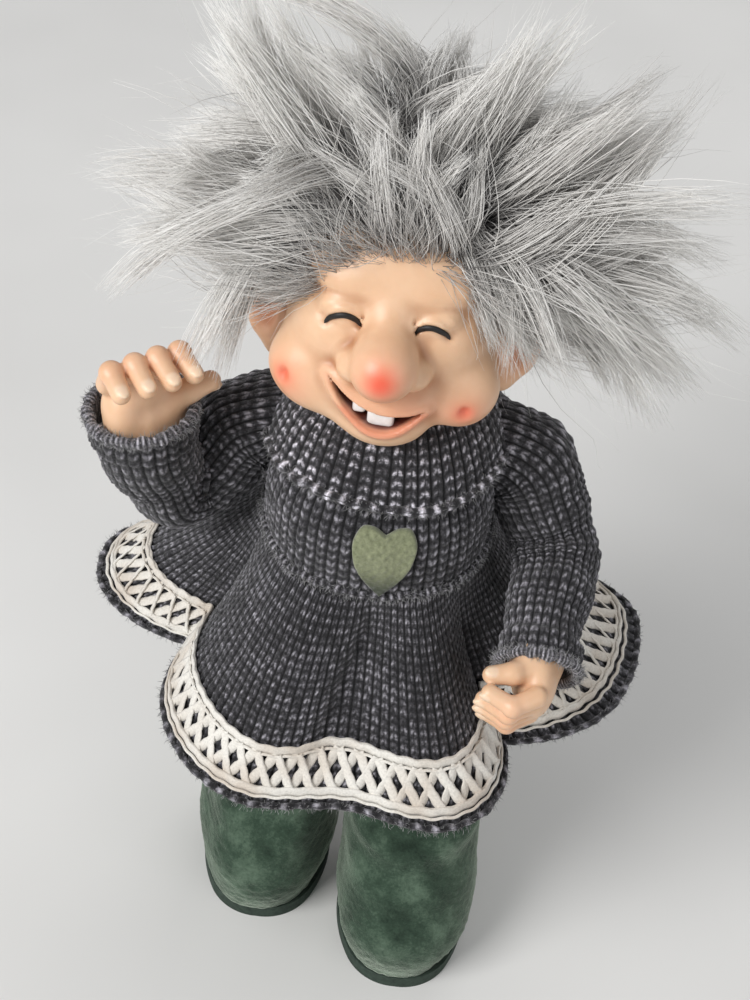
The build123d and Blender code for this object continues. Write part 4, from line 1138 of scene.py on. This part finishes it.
def make_hand(name):
    """A cast hand: palm, four bent fingers with nails, and a thumb."""
    wrist, fore = arm_points(name)[3:]
    direction, thumb_way, palm_way, curl, beyond = HANDS[name]
    ahead = unit(direction)
    first_axis = np.asarray(thumb_way, float)
    first_axis = unit(first_axis - ahead * (first_axis @ ahead))
    axes = np.stack([first_axis, np.cross(ahead, first_axis), ahead])
    stub = axes @ fore
    bends = np.radians(curl)
    ways = [np.array((0, palm_way * np.sin(b), np.cos(b))) for b in bends]
    dorsal = np.array((0, -palm_way * np.cos(bends[1]), np.sin(bends[1])))
    palm = np.array((0.0, 0.0, beyond))
    fingers = []
    for number, length in enumerate(FINGER_LENGTHS):
        spot = number - 1.5
        root = palm + (spot * FINGER_SPREAD, 0, 8.5)
        fan = np.array((spot * 0.05, 0, 0))
        knuckle = root + (ways[0] + fan) * FINGER_BONES[0] * length
        tip = knuckle + (ways[1] + fan) * FINGER_BONES[1] * length
        fingers.append((root, knuckle, tip))
    facing = np.array((1, palm_way, 1))
    thumb_root = palm + facing * (7.0, 3.5, -1.0)
    thumb_knuckle = thumb_root + facing * THUMBS[name][0] * THUMB_BONE
    thumb_tip = thumb_knuckle + facing * THUMBS[name][1] * THUMB_BONE
    thumb_along = unit(thumb_tip - thumb_knuckle)
    thumb_back = unit(np.cross(thumb_along, np.array((0.0, palm_way, 0.0))) * -palm_way)
    nail_spots = [(tip + dorsal * 2.15 + ways[1] * 0.7, dorsal, ways[1]) for _, _, tip in fingers]
    nail_spots.append((thumb_tip + thumb_back * 2.5 + thumb_along * 0.4, thumb_back, thumb_along))

    def nails(points):
        made = np.full(len(points), FAR)
        for centre, out, along in nail_spots:
            offset = points - centre
            flat = offset @ np.stack([np.cross(out, along), out, along], -1) / NAIL
            made = np.minimum(made, (size_of(flat) - 1) * NAIL[1])
        return made

    def field(points):
        hand = heap(
            rod(points, stub * -5.0, stub * 3.0, 8.0, 8.2),
            points,
            (palm, (11.6, 6.6, 12.5), 4.0),
            (palm + (0, palm_way, -6.5), (10.4, 7.4, 8.0), 3.0),
            (palm + (6.5, palm_way * 3.6, -3.5), (5.6, 4.6, 7.5), 2.5),
            (palm + (-6.8, palm_way * 3.2, -3.0), (4.6, 4.2, 8.0), 2.5),
        )
        for root, knuckle, tip in fingers:
            finger = rod(points, root, knuckle, 3.3, 3.0)
            finger = join(finger, rod(points, knuckle, tip, 3.05, 2.7), 0.9)
            finger = join(finger, egg(points, knuckle, (3.3, 3.3, 3.3)), 0.7)
            hand = join(hand, finger, 0.7)
        thumb = rod(points, thumb_root, thumb_knuckle, 4.2, 3.5)
        thumb = join(thumb, rod(points, thumb_knuckle, thumb_tip, 3.5, 2.9), 1.2)
        hand = join(hand, thumb, 1.4)
        return np.minimum(hand, nails(points))

    points, quads = surface_of(field, (-17, -24, -12), (26, 24, 36), HAND_STEP)
    tones = {label: np.zeros(len(points)) for label in ("lips", "mouth", "blush")}
    tones["nail"] = clamp(1 - nails(points) / 0.25)
    # Painted shade in the creases of the hand.
    tones["crease_shade"] = 0.8 * clamp(hollows(points, quads))
    tones["flush"] = 0.3 * tint(points, *[(knuckle, 4.0, 1) for _, knuckle, _ in fingers])
    points = wrist + points @ axes * HAND_SIZES[name]
    hand = add_piece(f"{name}_cast_hand", points, quads, SKIN, "skin", tones)
    settle(hand, f"{name}_forearm", f"{name}_hand")


# Head


def face_local(points):
    """Points in the face's own frame: turned with the face, heights from the chin."""
    x = points[:, 0] * cos(FACE_TURN) - points[:, 1] * sin(FACE_TURN) - FACE_SHIFT
    y = points[:, 0] * sin(FACE_TURN) + points[:, 1] * cos(FACE_TURN)
    return np.stack([x, y, points[:, 2] - CHIN_Z], -1)


def face_world(points):
    """The way back from the face's own frame."""
    x = points[:, 0] + FACE_SHIFT
    y = points[:, 1]
    across = x * cos(FACE_TURN) + y * sin(FACE_TURN)
    along = -x * sin(FACE_TURN) + y * cos(FACE_TURN)
    return np.stack([across, along, points[:, 2] + CHIN_Z], -1)


# Face, in its own frame
NOSE_TIP = (1.0, -46.0, 27.5)
MOUTH_X = -0.5
MOUTH_HALF = 12.2
MOUTH_Z = 12.2
MOUTH_OPEN = 5.6
MOUTH_SMILE = 3.0
MOUTH_LEAN = -2.9
MOUTH_STEPS = 16
MOUTH_FAR = 30.0
# Teeth: middle and half sizes of each
TEETH = {
    "upper_tooth": ((-4.4, -33.2, 11.5), (1.7, 1.9, 2.4)),
    "lower_tooth": ((1.2, -33.4, 8.3), (3.4, 2.0, 2.3)),
}
TOOTH_ROUND = 1.0
TOOTH_STEP = 0.35


def mouth_edges(t):
    """Heights of the mouth's upper and lower edge along its width."""
    lean = MOUTH_LEAN * t
    top = MOUTH_Z + MOUTH_SMILE * t**2 + lean
    low = MOUTH_Z - MOUTH_OPEN + (MOUTH_OPEN + MOUTH_SMILE) * t**2 + lean
    return top, low


def mouth_gap(p):
    """How far a place lies outside the mouth's opening, seen from the front."""
    t = np.linspace(-1, 1, MOUTH_STEPS)
    edges = [np.stack([MOUTH_X + MOUTH_HALF * t, height], -1) for height in mouth_edges(t)]
    away = np.full(len(p), MOUTH_FAR)
    near = (np.abs(p[:, 0] - MOUTH_X) < 19) & (np.abs(p[:, 2] - MOUTH_Z) < 16) & (p[:, 1] < -18)
    near = np.flatnonzero(near)
    spot = p[near][:, [0, 2]]
    reach = np.full(len(near), MOUTH_FAR)
    for line in edges:
        for start, end in zip(line[:-1], line[1:]):
            along = end - start
            share = clamp((spot - start) @ along / (along @ along))
            reach = np.minimum(reach, size_of(spot - start - share[:, None] * along))
    own = (spot[:, 0] - MOUTH_X) / MOUTH_HALF
    top, low = mouth_edges(own)
    open_here = (np.abs(own) < 1) & (spot[:, 1] < top) & (spot[:, 1] > low)
    away[near] = np.where(open_here, -reach, reach)
    return away


def lid_face(p):
    """The skull, brow and lids, without the nose and the mouth."""
    form = egg(p, (-FACE_SHIFT, 2, 34), SKULL_RADII)
    form = heap(form, p, ((0, -12, 20), (26.5, 21.5, 20), 8), ((0, -16.5, 42), (21, 9.5, 9), 9))
    for side in (-1, 1):
        form = heap(
            form,
            p,
            ((side * 12.5, -23.0, 26.5), (9.5, 7.5, 7.5), 5),
            ((side * 10.5, -22.8, 41.0), (8.5, 5.0, 3.6), 3.5),
            ((side * EYE_X, -25.4, 34.6), (6.6, 5.4, 4.0), 1.5),
        )
    return form


def bare_face(p):
    """The head's big forms, before the eyes and the mouth are cut: chin, cheeks, ears, lips and nose."""
    form = lid_face(p)
    form = heap(form, p, ((1.2, -27.4, 5.6), (12.5, 10.2, 8.8), 6), ((-13, -22.5, 9.0), (11, 10, 8.5), 6))
    for side, height in ((-1, 13.0), (1, 12.2)):
        form = heap(form, p, ((side * 18.8, -21.5, height), (10.6, 10.8, 10.4), 4.5))
        ear = egg(p, (side * 31.5, -5, 15.5), (7.0, 4.4, 11.0))
        ear = heap(ear, p, ((side * 29.5, -6, 5.5), (3.6, 3.2, 4.6), 3))
        ear = carve(ear, egg(p, (side * 34.0, -9.2, 16.5), (4.4, 3.4, 7.4)), 1.8)
        form = join(form, ear, 3)
    form = heap(form, p, ((0.3, -29.2, 14), (13.2, 8.0, 7.6), 4))
    form = join(form, rod(p, (0, -25.5, 36), (0.6, -34, 29), 3.0, 5.4), 6)
    form = heap(form, p, ((0.8, -38.0, 26.2), (8.3, 8.8, 8.0), 3.2))
    for side in (-1, 1):
        form = heap(form, p, ((0.6 + side * 7.6, -33.6, 22.6), (4.0, 4.6, 3.8), 2.6))
        form = carve(form, egg(p, (0.8 + side * 4.0, -41.5, 18.0), (1.8, 2.6, 1.8)), 1.2)
    return form


def surface_depth(field, x, z):
    """How far forward a field's surface lies at places seen from the front."""
    stride = 0.25
    steps = np.arange(-62.0, -15.0, stride)
    depth = []
    for a, b in zip(np.ravel(x), np.ravel(z)):
        line = np.stack([np.full(len(steps), a), steps, np.full(len(steps), b)], -1)
        values = field(line)
        index = int(np.argmax(values < 0))
        share = values[index - 1] / (values[index - 1] - values[index])
        depth.append(steps[index - 1] + share * stride)
    return np.array(depth)


# Eyes: half width, height and rise of each eye's line and of the fold over it, and the droop of its
# outer end on the doll's right and left
EYE_X = 10.8
EYE_ARC = (4.5, 31.6, 3.2)
LID_ARC = (5.6, 33.2, 4.4)
EYE_DROOP = {-1: 1.1, 1: 0.5}


def eye_arc(side, count, half, height, rise):
    """Places along one closed, smiling eye, or along the fold of skin over it."""
    t = np.linspace(-1, 1, count)
    x = side * EYE_X + half * t
    z = height + rise * (1 - t**2) - EYE_DROOP[side] * ((1 + side * t) / 2) ** 2
    return np.stack([x, surface_depth(lid_face, x, z), z], -1)


EYES = {side: eye_arc(side, 15, *EYE_ARC) for side in (-1, 1)}
LIDS = {side: eye_arc(side, 15, *LID_ARC) for side in (-1, 1)}
# Dimples: places across and up the face
DIMPLES = {-1: (-24.5, 14.0), 1: (21.6, 11.4)}
DIMPLE_POINTS = {
    side: np.array((x, surface_depth(bare_face, [x], [z])[0], z)) for side, (x, z) in DIMPLES.items()
}


def face_field(points):
    """The cast head's surface, with its lids, lips, mouth and dimples."""
    p = face_local(points)
    form = bare_face(p)
    gap = mouth_gap(p)
    lip = np.hypot(gap - 0.6, form + 0.2) - 1.55
    form = join(form, lip, 1.4)
    form = carve(form, np.maximum(gap, p[:, 1] + 26.5), 1.0)
    for side in (-1, 1):
        form = carve(form, chain(p, EYES[side], 0.7), 0.6)
        form = carve(form, chain(p, LIDS[side], 0.3), 1.0)
        form = carve(form, egg(p, DIMPLE_POINTS[side], (1.2, 1.5, 1.7)), 1.6)
    return form


def make_head():
    """The cast head with its airbrushed colours and painted shade in its creases."""
    points, quads = surface_of(face_field, (-43, -54, 200), (43, 36, 274), HEAD_STEP)
    p = face_local(points)
    gap = mouth_gap(p)
    base = bare_face(p)
    facing = clamp((-24 - p[:, 1]) / 3)
    tones = {"nail": np.zeros(len(points))}
    tones["mouth"] = facing * clamp((-base - 0.2) / 1.2) * (gap < 0.9)
    low_lip = np.clip((MOUTH_Z + 1 - p[:, 2]) / 2, 0.35, 1)
    tones["lips"] = 0.75 * facing * low_lip * bell(gap - 0.6, 1.6)
    blush = [(NOSE_TIP, 4.4, 0.95)]
    flush = [(NOSE_TIP, 9.0, 0.30), ((7.0, -36.0, 14.0), (8, 6, 5), 0.4)]
    for side, dimple in DIMPLE_POINTS.items():
        blush.append((dimple, 2.4, 0.8))
        flush.append((dimple - (0, 0, 1.5), 6.5, 0.75))
        flush.append(((side * 33.0, -8.0, 16.0), (5, 5, 9), 0.5))
    tones["blush"] = tint(p, *blush)
    tones["flush"] = tint(p, *flush)
    # Painted shade in the creases and hollows of the head.
    tones["crease_shade"] = 0.85 * clamp(hollows(points, quads, 10))
    head = add_piece("cast_head", points, quads, SKIN, "skin", tones)
    settle(head, "head", "head")


def make_eyes():
    """The painted lines of the closed eyes."""
    count, sides = 33, 8
    half = 0.74 * np.sqrt(np.maximum(0.0, 1 - np.abs(np.linspace(-1, 1, count)) ** 5)) + 0.02
    for side, name in ((-1, "right"), (1, "left")):
        line = eye_arc(side, count, *EYE_ARC)
        along = unit(np.gradient(line, axis=0))
        outward = np.array((0.0, -1.0, 0.25))
        outward = unit(outward - along * (along @ outward)[:, None])
        ring = circles(np.cross(along, outward), 0.6 * outward, full_turn(sides))
        grid = line[:, None] - outward[:, None] * 0.05 + ring * half[:, None, None]
        points, faces = capped(face_world(grid.reshape(-1, 3)).reshape(grid.shape))
        settle(add_piece(f"{name}_eye_line", points, faces, EYE_PAINT, "skin"), "head")


def make_teeth():
    """The two teeth, as rounded blocks."""
    for name, (middle, half) in TEETH.items():
        middle, half = np.array(middle), np.array(half)

        def field(q, middle=middle, half=half):
            box = np.abs(face_local(q) - middle) - (half - TOOTH_ROUND)
            return size_of(np.maximum(box, 0)) + np.minimum(box.max(1), 0) - TOOTH_ROUND

        centre = face_world(middle[None])[0]
        points, quads = surface_of(field, centre - half - 1, centre + half + 1, TOOTH_STEP)
        settle(add_piece(f"enamel_{name}", points, quads, TOOTH, "tooth"), "head", name)


# Hair


def skull_way(azimuth, elevation):
    """Directions from the middle of the skull."""
    a, e = np.radians(azimuth), np.radians(elevation)
    return np.stack([np.sin(a) * np.cos(e), -np.cos(a) * np.cos(e), np.sin(e)], -1)


def on_skull(ways, grow):
    reach = 1 / np.linalg.norm(ways / (SKULL_RADII + grow), axis=-1, keepdims=True)
    return SKULL_MIDDLE + ways * reach


HAIRLINE_WAY = np.array((0.0, sin(HAIRLINE_SLOPE), cos(HAIRLINE_SLOPE)))


def covered(ways, above=0.0):
    """Which directions the wig covers, some way above its hairline, which drops at the temples."""
    spots = on_skull(ways, 0)
    height = (spots - HAIRLINE_POINT) @ HAIRLINE_WAY
    side = clamp((np.abs(spots[:, 0]) - 8) / 14)
    return height > above - HAIRLINE_DROP - TEMPLE_DROP * side**2 * (3 - 2 * side)


def scatter_roots(count, draw, above=0.0):
    """Even random directions over the part of the skull that the wig covers."""
    ways = unit(draw.normal(size=(count * 3, 3)))
    return ways[covered(ways, above)][:count]


def strands(name, roots, bends, tips, radii, own, dress, draw, wave, segments, slot):
    """Thin tapered fibres from their roots over their bends to their tips, as one piece."""
    count = len(roots)
    share = np.linspace(0, 1, segments + 1)[None, :, None]
    line = roots[:, None] * (1 - share) ** 2 + 2 * bends[:, None] * share * (1 - share)
    line = line + tips[:, None] * share**2
    sway = size_of(tips - roots)[:, None, None] * wave
    heading = unit(tips - roots)
    first = unit(np.cross(heading, unit(draw.normal(size=(count, 3)))))
    second = np.cross(heading, first)
    curl = draw.uniform(0.5, 1.4, (count, 1, 1))
    phase = draw.uniform(0, 2 * pi, (count, 1, 1))
    for turned, across in ((0.0, first), (pi / 2, second)):
        swing = np.sin(share * 2 * pi * curl + phase + turned) - np.sin(phase + turned)
        line = line + swing * share * across[:, None] * sway
    thin = (radii[:, None] * (0.14 + 0.86 * (1 - share[..., 0]) ** 0.6))[..., None, None]
    points = line[:, :, None] + circles(first, second, full_turn(STRAND_SIDES))[:, None] * thin
    one = grid_faces(segments + 1, STRAND_SIDES)
    step = (segments + 1) * STRAND_SIDES
    faces = (one[None] + (np.arange(count) * step)[:, None, None]).reshape(-1, 4)
    cap = np.arange(STRAND_SIDES)[None, :] + (np.arange(count) * step)[:, None]
    tip_cap = cap + segments * STRAND_SIDES
    along = np.broadcast_to(share[..., 0][..., None], points.shape[:3])
    tones = {"along": along, "own": np.repeat(own, step)}
    return add_piece(name, points, [faces, cap[:, ::-1], tip_cap], dress, slot, tones)


def within(tips):
    """Tips held inside the reach of the hair."""
    return np.clip(tips, HAIR_LOW, HAIR_HIGH)


def lock_strands(locks, draw, each, clumps, spread, loose):
    """Roots, bends, tips and shades of the strands of some locks, gathered in clumps."""
    count = len(locks) * each
    lock = np.repeat(np.arange(len(locks)), each)
    clump = draw.integers(0, clumps, count)
    root_way = skull_way(locks[:, 0], locks[:, 1])
    clump_way = unit(root_way[:, None] + draw.normal(size=(len(locks), clumps, 3)) * spread)
    clump_tip = SKULL_MIDDLE + skull_way(locks[:, 2], locks[:, 3]) * locks[:, 4:5]
    clump_tip = clump_tip[:, None] + draw.normal(size=clump_way.shape) * loose
    clump_size = draw.uniform(0.72, 1.04, (len(locks), clumps, 1))
    clump_shade = draw.normal(0.0, 0.16, (len(locks), clumps))
    ways = unit(clump_way[lock, clump] + draw.normal(size=(count, 3)) * spread * 0.375)
    keep = covered(ways)
    lock, clump, ways = lock[keep], clump[keep], ways[keep]
    count = len(ways)
    roots = on_skull(ways, BACKING_GROW - ROOT_DEPTH)
    tips = clump_tip[lock, clump] + draw.normal(size=(count, 3)) * loose * 0.14
    tips = roots + (tips - roots) * clump_size[lock, clump] * draw.uniform(0.8, 1.02, (count, 1))
    length = np.linalg.norm(tips - roots, axis=1, keepdims=True)
    lift = locks[lock, 5:6] * length
    middle = on_skull(clump_way[lock, clump], BACKING_GROW)
    gather = (middle - roots) * 0.7
    bends = roots + unit(ways + draw.normal(size=(count, 3)) * 0.1) * lift + gather
    own = clamp(draw.normal(0.76, 0.17, count) + clump_shade[lock, clump])
    return roots, bends, within(tips), own


def make_hair():
    """The wild fur: long locks in clumps, loose pile between them, undercoat and stray fibres."""
    table = np.array(HAIR_LOCKS, float)
    locks = np.concatenate([table, np.full((len(table), 1), LOCK_BEND)], 1)
    # Strands and clumps in each lock, and how far the clumps spread at their roots and tips
    full = (STRANDS_IN_LOCK, CLUMPS_IN_LOCK, 0.18, 6.5)
    groups = {
        "right_fur": (locks[:9], full),
        "front_fur": (locks[9:18], full),
        "left_fur": (locks[18:26], full),
        "back_fur": (locks[26:], full),
        "hanging_fur": (np.array(HANGING_LOCKS, float), (STRANDS_HANGING, CLUMPS_HANGING, 0.075, 2.0)),
    }
    draw = np.random.default_rng(11)
    lock_root = skull_way(table[:, 0], table[:, 1])
    lock_tip = SKULL_MIDDLE + skull_way(table[:, 2], table[:, 3]) * table[:, 4:5]

    def grow(name, roots, bends, tips, own, radii, wave, dress=HAIR, segments=STRAND_SEGMENTS):
        radii = draw.uniform(*radii, len(roots))
        settle(strands(name, roots, bends, tips, radii, own, dress, draw, wave, segments, "hair"), "head")

    def shades(count, middle, spread):
        return clamp(draw.normal(middle, spread, count))

    def nearest(ways):
        """Tip of the lock that each direction lies closest to, give or take."""
        return lock_tip[(ways @ lock_root.T + draw.normal(size=(len(ways), len(table))) * 0.05).argmax(1)]

    def reaching(ways, loose, reach):
        """Roots and tips of fibres that reach some way towards the tip of a lock."""
        roots = on_skull(ways, BACKING_GROW - ROOT_DEPTH)
        tips = nearest(ways) + draw.normal(size=ways.shape) * loose
        return roots, within(roots + (tips - roots) * draw.uniform(*reach, (len(ways), 1)))

    def leaning(ways, loose, lift, lengths, out, on):
        """Roots, bends and tips of short fibres that lean the way of a lock."""
        roots = on_skull(ways, BACKING_GROW - ROOT_DEPTH)
        lean = unit(unit(nearest(ways) - roots) + draw.normal(size=ways.shape) * loose + ways * lift)
        length = draw.uniform(*lengths, (len(ways), 1))
        return roots, roots + ways * length * out + lean * length * on, roots + lean * length

    for name, (group, gathered) in groups.items():
        grow(name, *lock_strands(group, draw, *gathered), (0.13, 0.24), 0.035)

    ways = scatter_roots(STRANDS_LOOSE, draw)
    roots, tips = reaching(ways, 8, (0.45, 0.95))
    length = size_of(tips - roots)[:, None]
    bends = roots + unit(ways + draw.normal(size=ways.shape) * 0.3) * length * LOCK_BEND
    grow("loose_fur", roots, bends, tips, shades(len(ways), 0.5, 0.22), (0.10, 0.18), 0.06)

    ways = scatter_roots(ROOTS_HAIRLINE, draw)
    ways = ways[~covered(ways, HAIRLINE_BAND) & (ways[:, 1] < 0.2)]
    roots, bends, tips = leaning(ways, 0.25, 0, (12, 32), 0.25, 0.25)
    own = shades(len(ways), 0.7, 0.2)
    grow("hairline_fur", roots, bends, within(tips), own, (0.06, 0.11), 0.06, FRINGE, 6)

    ways = scatter_roots(STRANDS_UNDERCOAT, draw, HAIRLINE_BAND)
    roots, bends, tips = leaning(ways, 0.35, 0.15, (9, 20), 0.3, 0.2)
    own = shades(len(ways), 0.55, 0.25)
    grow("undercoat_fur", roots, bends, tips, own, (0.12, 0.2), 0.12, UNDERCOAT, 6)

    ways = scatter_roots(STRANDS_STRAY, draw)
    roots, tips = reaching(ways, 12, (0.5, 1.0))
    bends = (roots + tips) / 2 + ways * 6 + draw.normal(size=ways.shape) * 6
    grow("stray_fur", roots, bends, tips, shades(len(ways), 0.8, 0.15), (0.06, 0.1), 0.08)


def make_backing():
    """The wig's knitted-back pile cloth, close over the skull above the hairline."""
    rings, columns = 60, 160
    depth = (HAIRLINE_POINT - SKULL_MIDDLE) @ HAIRLINE_WAY
    limit = acos(depth / BACKING_REACH)
    side = np.array((1.0, 0.0, 0.0))
    other = np.cross(HAIRLINE_WAY, side)
    turn = full_turn(columns)
    polar = np.linspace(0.02, 1, rings)[:, None] * (limit + BACKING_TEMPLES * np.cos(turn) ** 4)
    across = circles(side, other, turn)
    ways = np.cos(polar)[..., None] * HAIRLINE_WAY + np.sin(polar)[..., None] * across
    outer = on_skull(ways, BACKING_GROW)
    outer = outer + ways * (0.5 * ripple(outer, 3.0, 81))[..., None]
    inner = on_skull(ways, 0.4)[::-1]
    points, faces = capped(np.concatenate([outer, inner]))
    tones = {"along": np.full(len(points), 0.3), "own": 0.5 + 0.5 * ripple(points, 2.0, 82)}
    settle(add_piece("wig_backing", points, faces, UNDERCOAT, "hair", tones), "head", "wig")


# Nodes that stay as they are


def dress_nodes():
    """Materials of the pieces that keep their own solid."""
    looks = {"neck_post": WOOD, "neck_plug": FIBRE, "neck_washer": FIBRE, "neck_cap": WIRE}
    for name in ARMS:
        looks[f"{name}_sole"] = SOLE
        for part in ("leg_rod", "shoulder_pin", "upper_link", "elbow_rivet", "fore_link"):
            looks[f"{name}_{part}"] = WIRE
    for name, look in looks.items():
        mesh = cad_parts[name].data
        mesh.materials.clear()
        mesh.materials.append(look)


# Stage, light and camera, in metres

FLOOR_REACH = 4.0
LIGHT_AIM = (0, 0, 0.18)
# Lamps: place, size and power of each
LAMPS = {
    "key": ((-0.85, -0.75, 0.95), 0.7, 17.0),
    "fill": ((0.9, -0.8, 0.6), 0.9, 3.0),
    "rim": ((0.3, 0.9, 0.9), 0.7, 4.0),
}
SKY_COLOUR = (0.95, 0.97, 1.0, 1.0)
SKY_STRENGTH = 0.35
CAMERA_SPOT = (0, -0.342, 0.466)
CAMERA_PITCH = radians(42.0)
CAMERA_ROLL = radians(7.0)
CAMERA_LENS = 57.6
CAMERA_SENSOR = 36.0
CAMERA_SHIFT = -0.004


def make_stage():
    """A plain pale floor."""
    look = Look("pale_floor", 0.85)
    speck = look.ramp(look.noise(6.0, 2.0), (0.3, (0.70, 0.69, 0.67)), (0.7, (0.76, 0.75, 0.73)))
    mesh = bpy.data.meshes.new("floor")
    corners = [(x * FLOOR_REACH, y * FLOOR_REACH, 0) for x, y in ((-1, -1), (1, -1), (1, 1), (-1, 1))]
    mesh.from_pydata(corners, [], [(0, 1, 2, 3)])
    mesh.materials.append(look.paint(speck))
    floor = bpy.data.objects.new("floor", mesh)
    bpy.context.scene.collection.objects.link(floor)


def make_light():
    """A large soft key from the photo's left, a weak fill, a rim light and an even sky."""
    for name, (spot, size, power) in LAMPS.items():
        data = bpy.data.lights.new(name, "AREA")
        data.size = size
        data.energy = power
        lamp = bpy.data.objects.new(name, data)
        lamp.location = spot
        lamp.rotation_euler = (Vector(LIGHT_AIM) - Vector(spot)).to_track_quat("-Z", "Y").to_euler()
        bpy.context.scene.collection.objects.link(lamp)
    world = bpy.data.worlds.new("sky")
    world.use_nodes = True
    sky = world.node_tree.nodes["Background"]
    sky.inputs["Color"].default_value = SKY_COLOUR
    sky.inputs["Strength"].default_value = SKY_STRENGTH
    bpy.context.scene.world = world


def make_camera():
    """The photo's view: from above the front, a little rolled."""
    ahead = Vector((0, cos(CAMERA_PITCH), -sin(CAMERA_PITCH)))
    level = Vector((1, 0, 0))
    above = Vector((0, sin(CAMERA_PITCH), cos(CAMERA_PITCH)))
    right = cos(CAMERA_ROLL) * level + sin(CAMERA_ROLL) * above
    up = -sin(CAMERA_ROLL) * level + cos(CAMERA_ROLL) * above
    data = bpy.data.cameras.new("camera")
    data.lens = CAMERA_LENS
    data.sensor_width = CAMERA_SENSOR
    data.shift_x = CAMERA_SHIFT
    camera = bpy.data.objects.new("camera", data)
    turn = Matrix((right, up, -ahead)).transposed().to_4x4()
    camera.matrix_world = Matrix.Translation(CAMERA_SPOT) @ turn
    bpy.context.scene.collection.objects.link(camera)
    bpy.context.scene.camera = camera


dress_nodes()
for side_name, side_sign in (("right", -1), ("left", 1)):
    make_boot(side_name, side_sign)
    make_leg(side_name, side_sign)
    make_sleeve(side_name)
    make_hand(side_name)
make_body()
make_bodice()
make_skirt()
make_collar()
make_heart()
make_head()
make_eyes()
make_teeth()
make_backing()
make_hair()
make_stage()
make_light()
make_camera()
bpy.context.scene.view_settings.view_transform = "Standard"
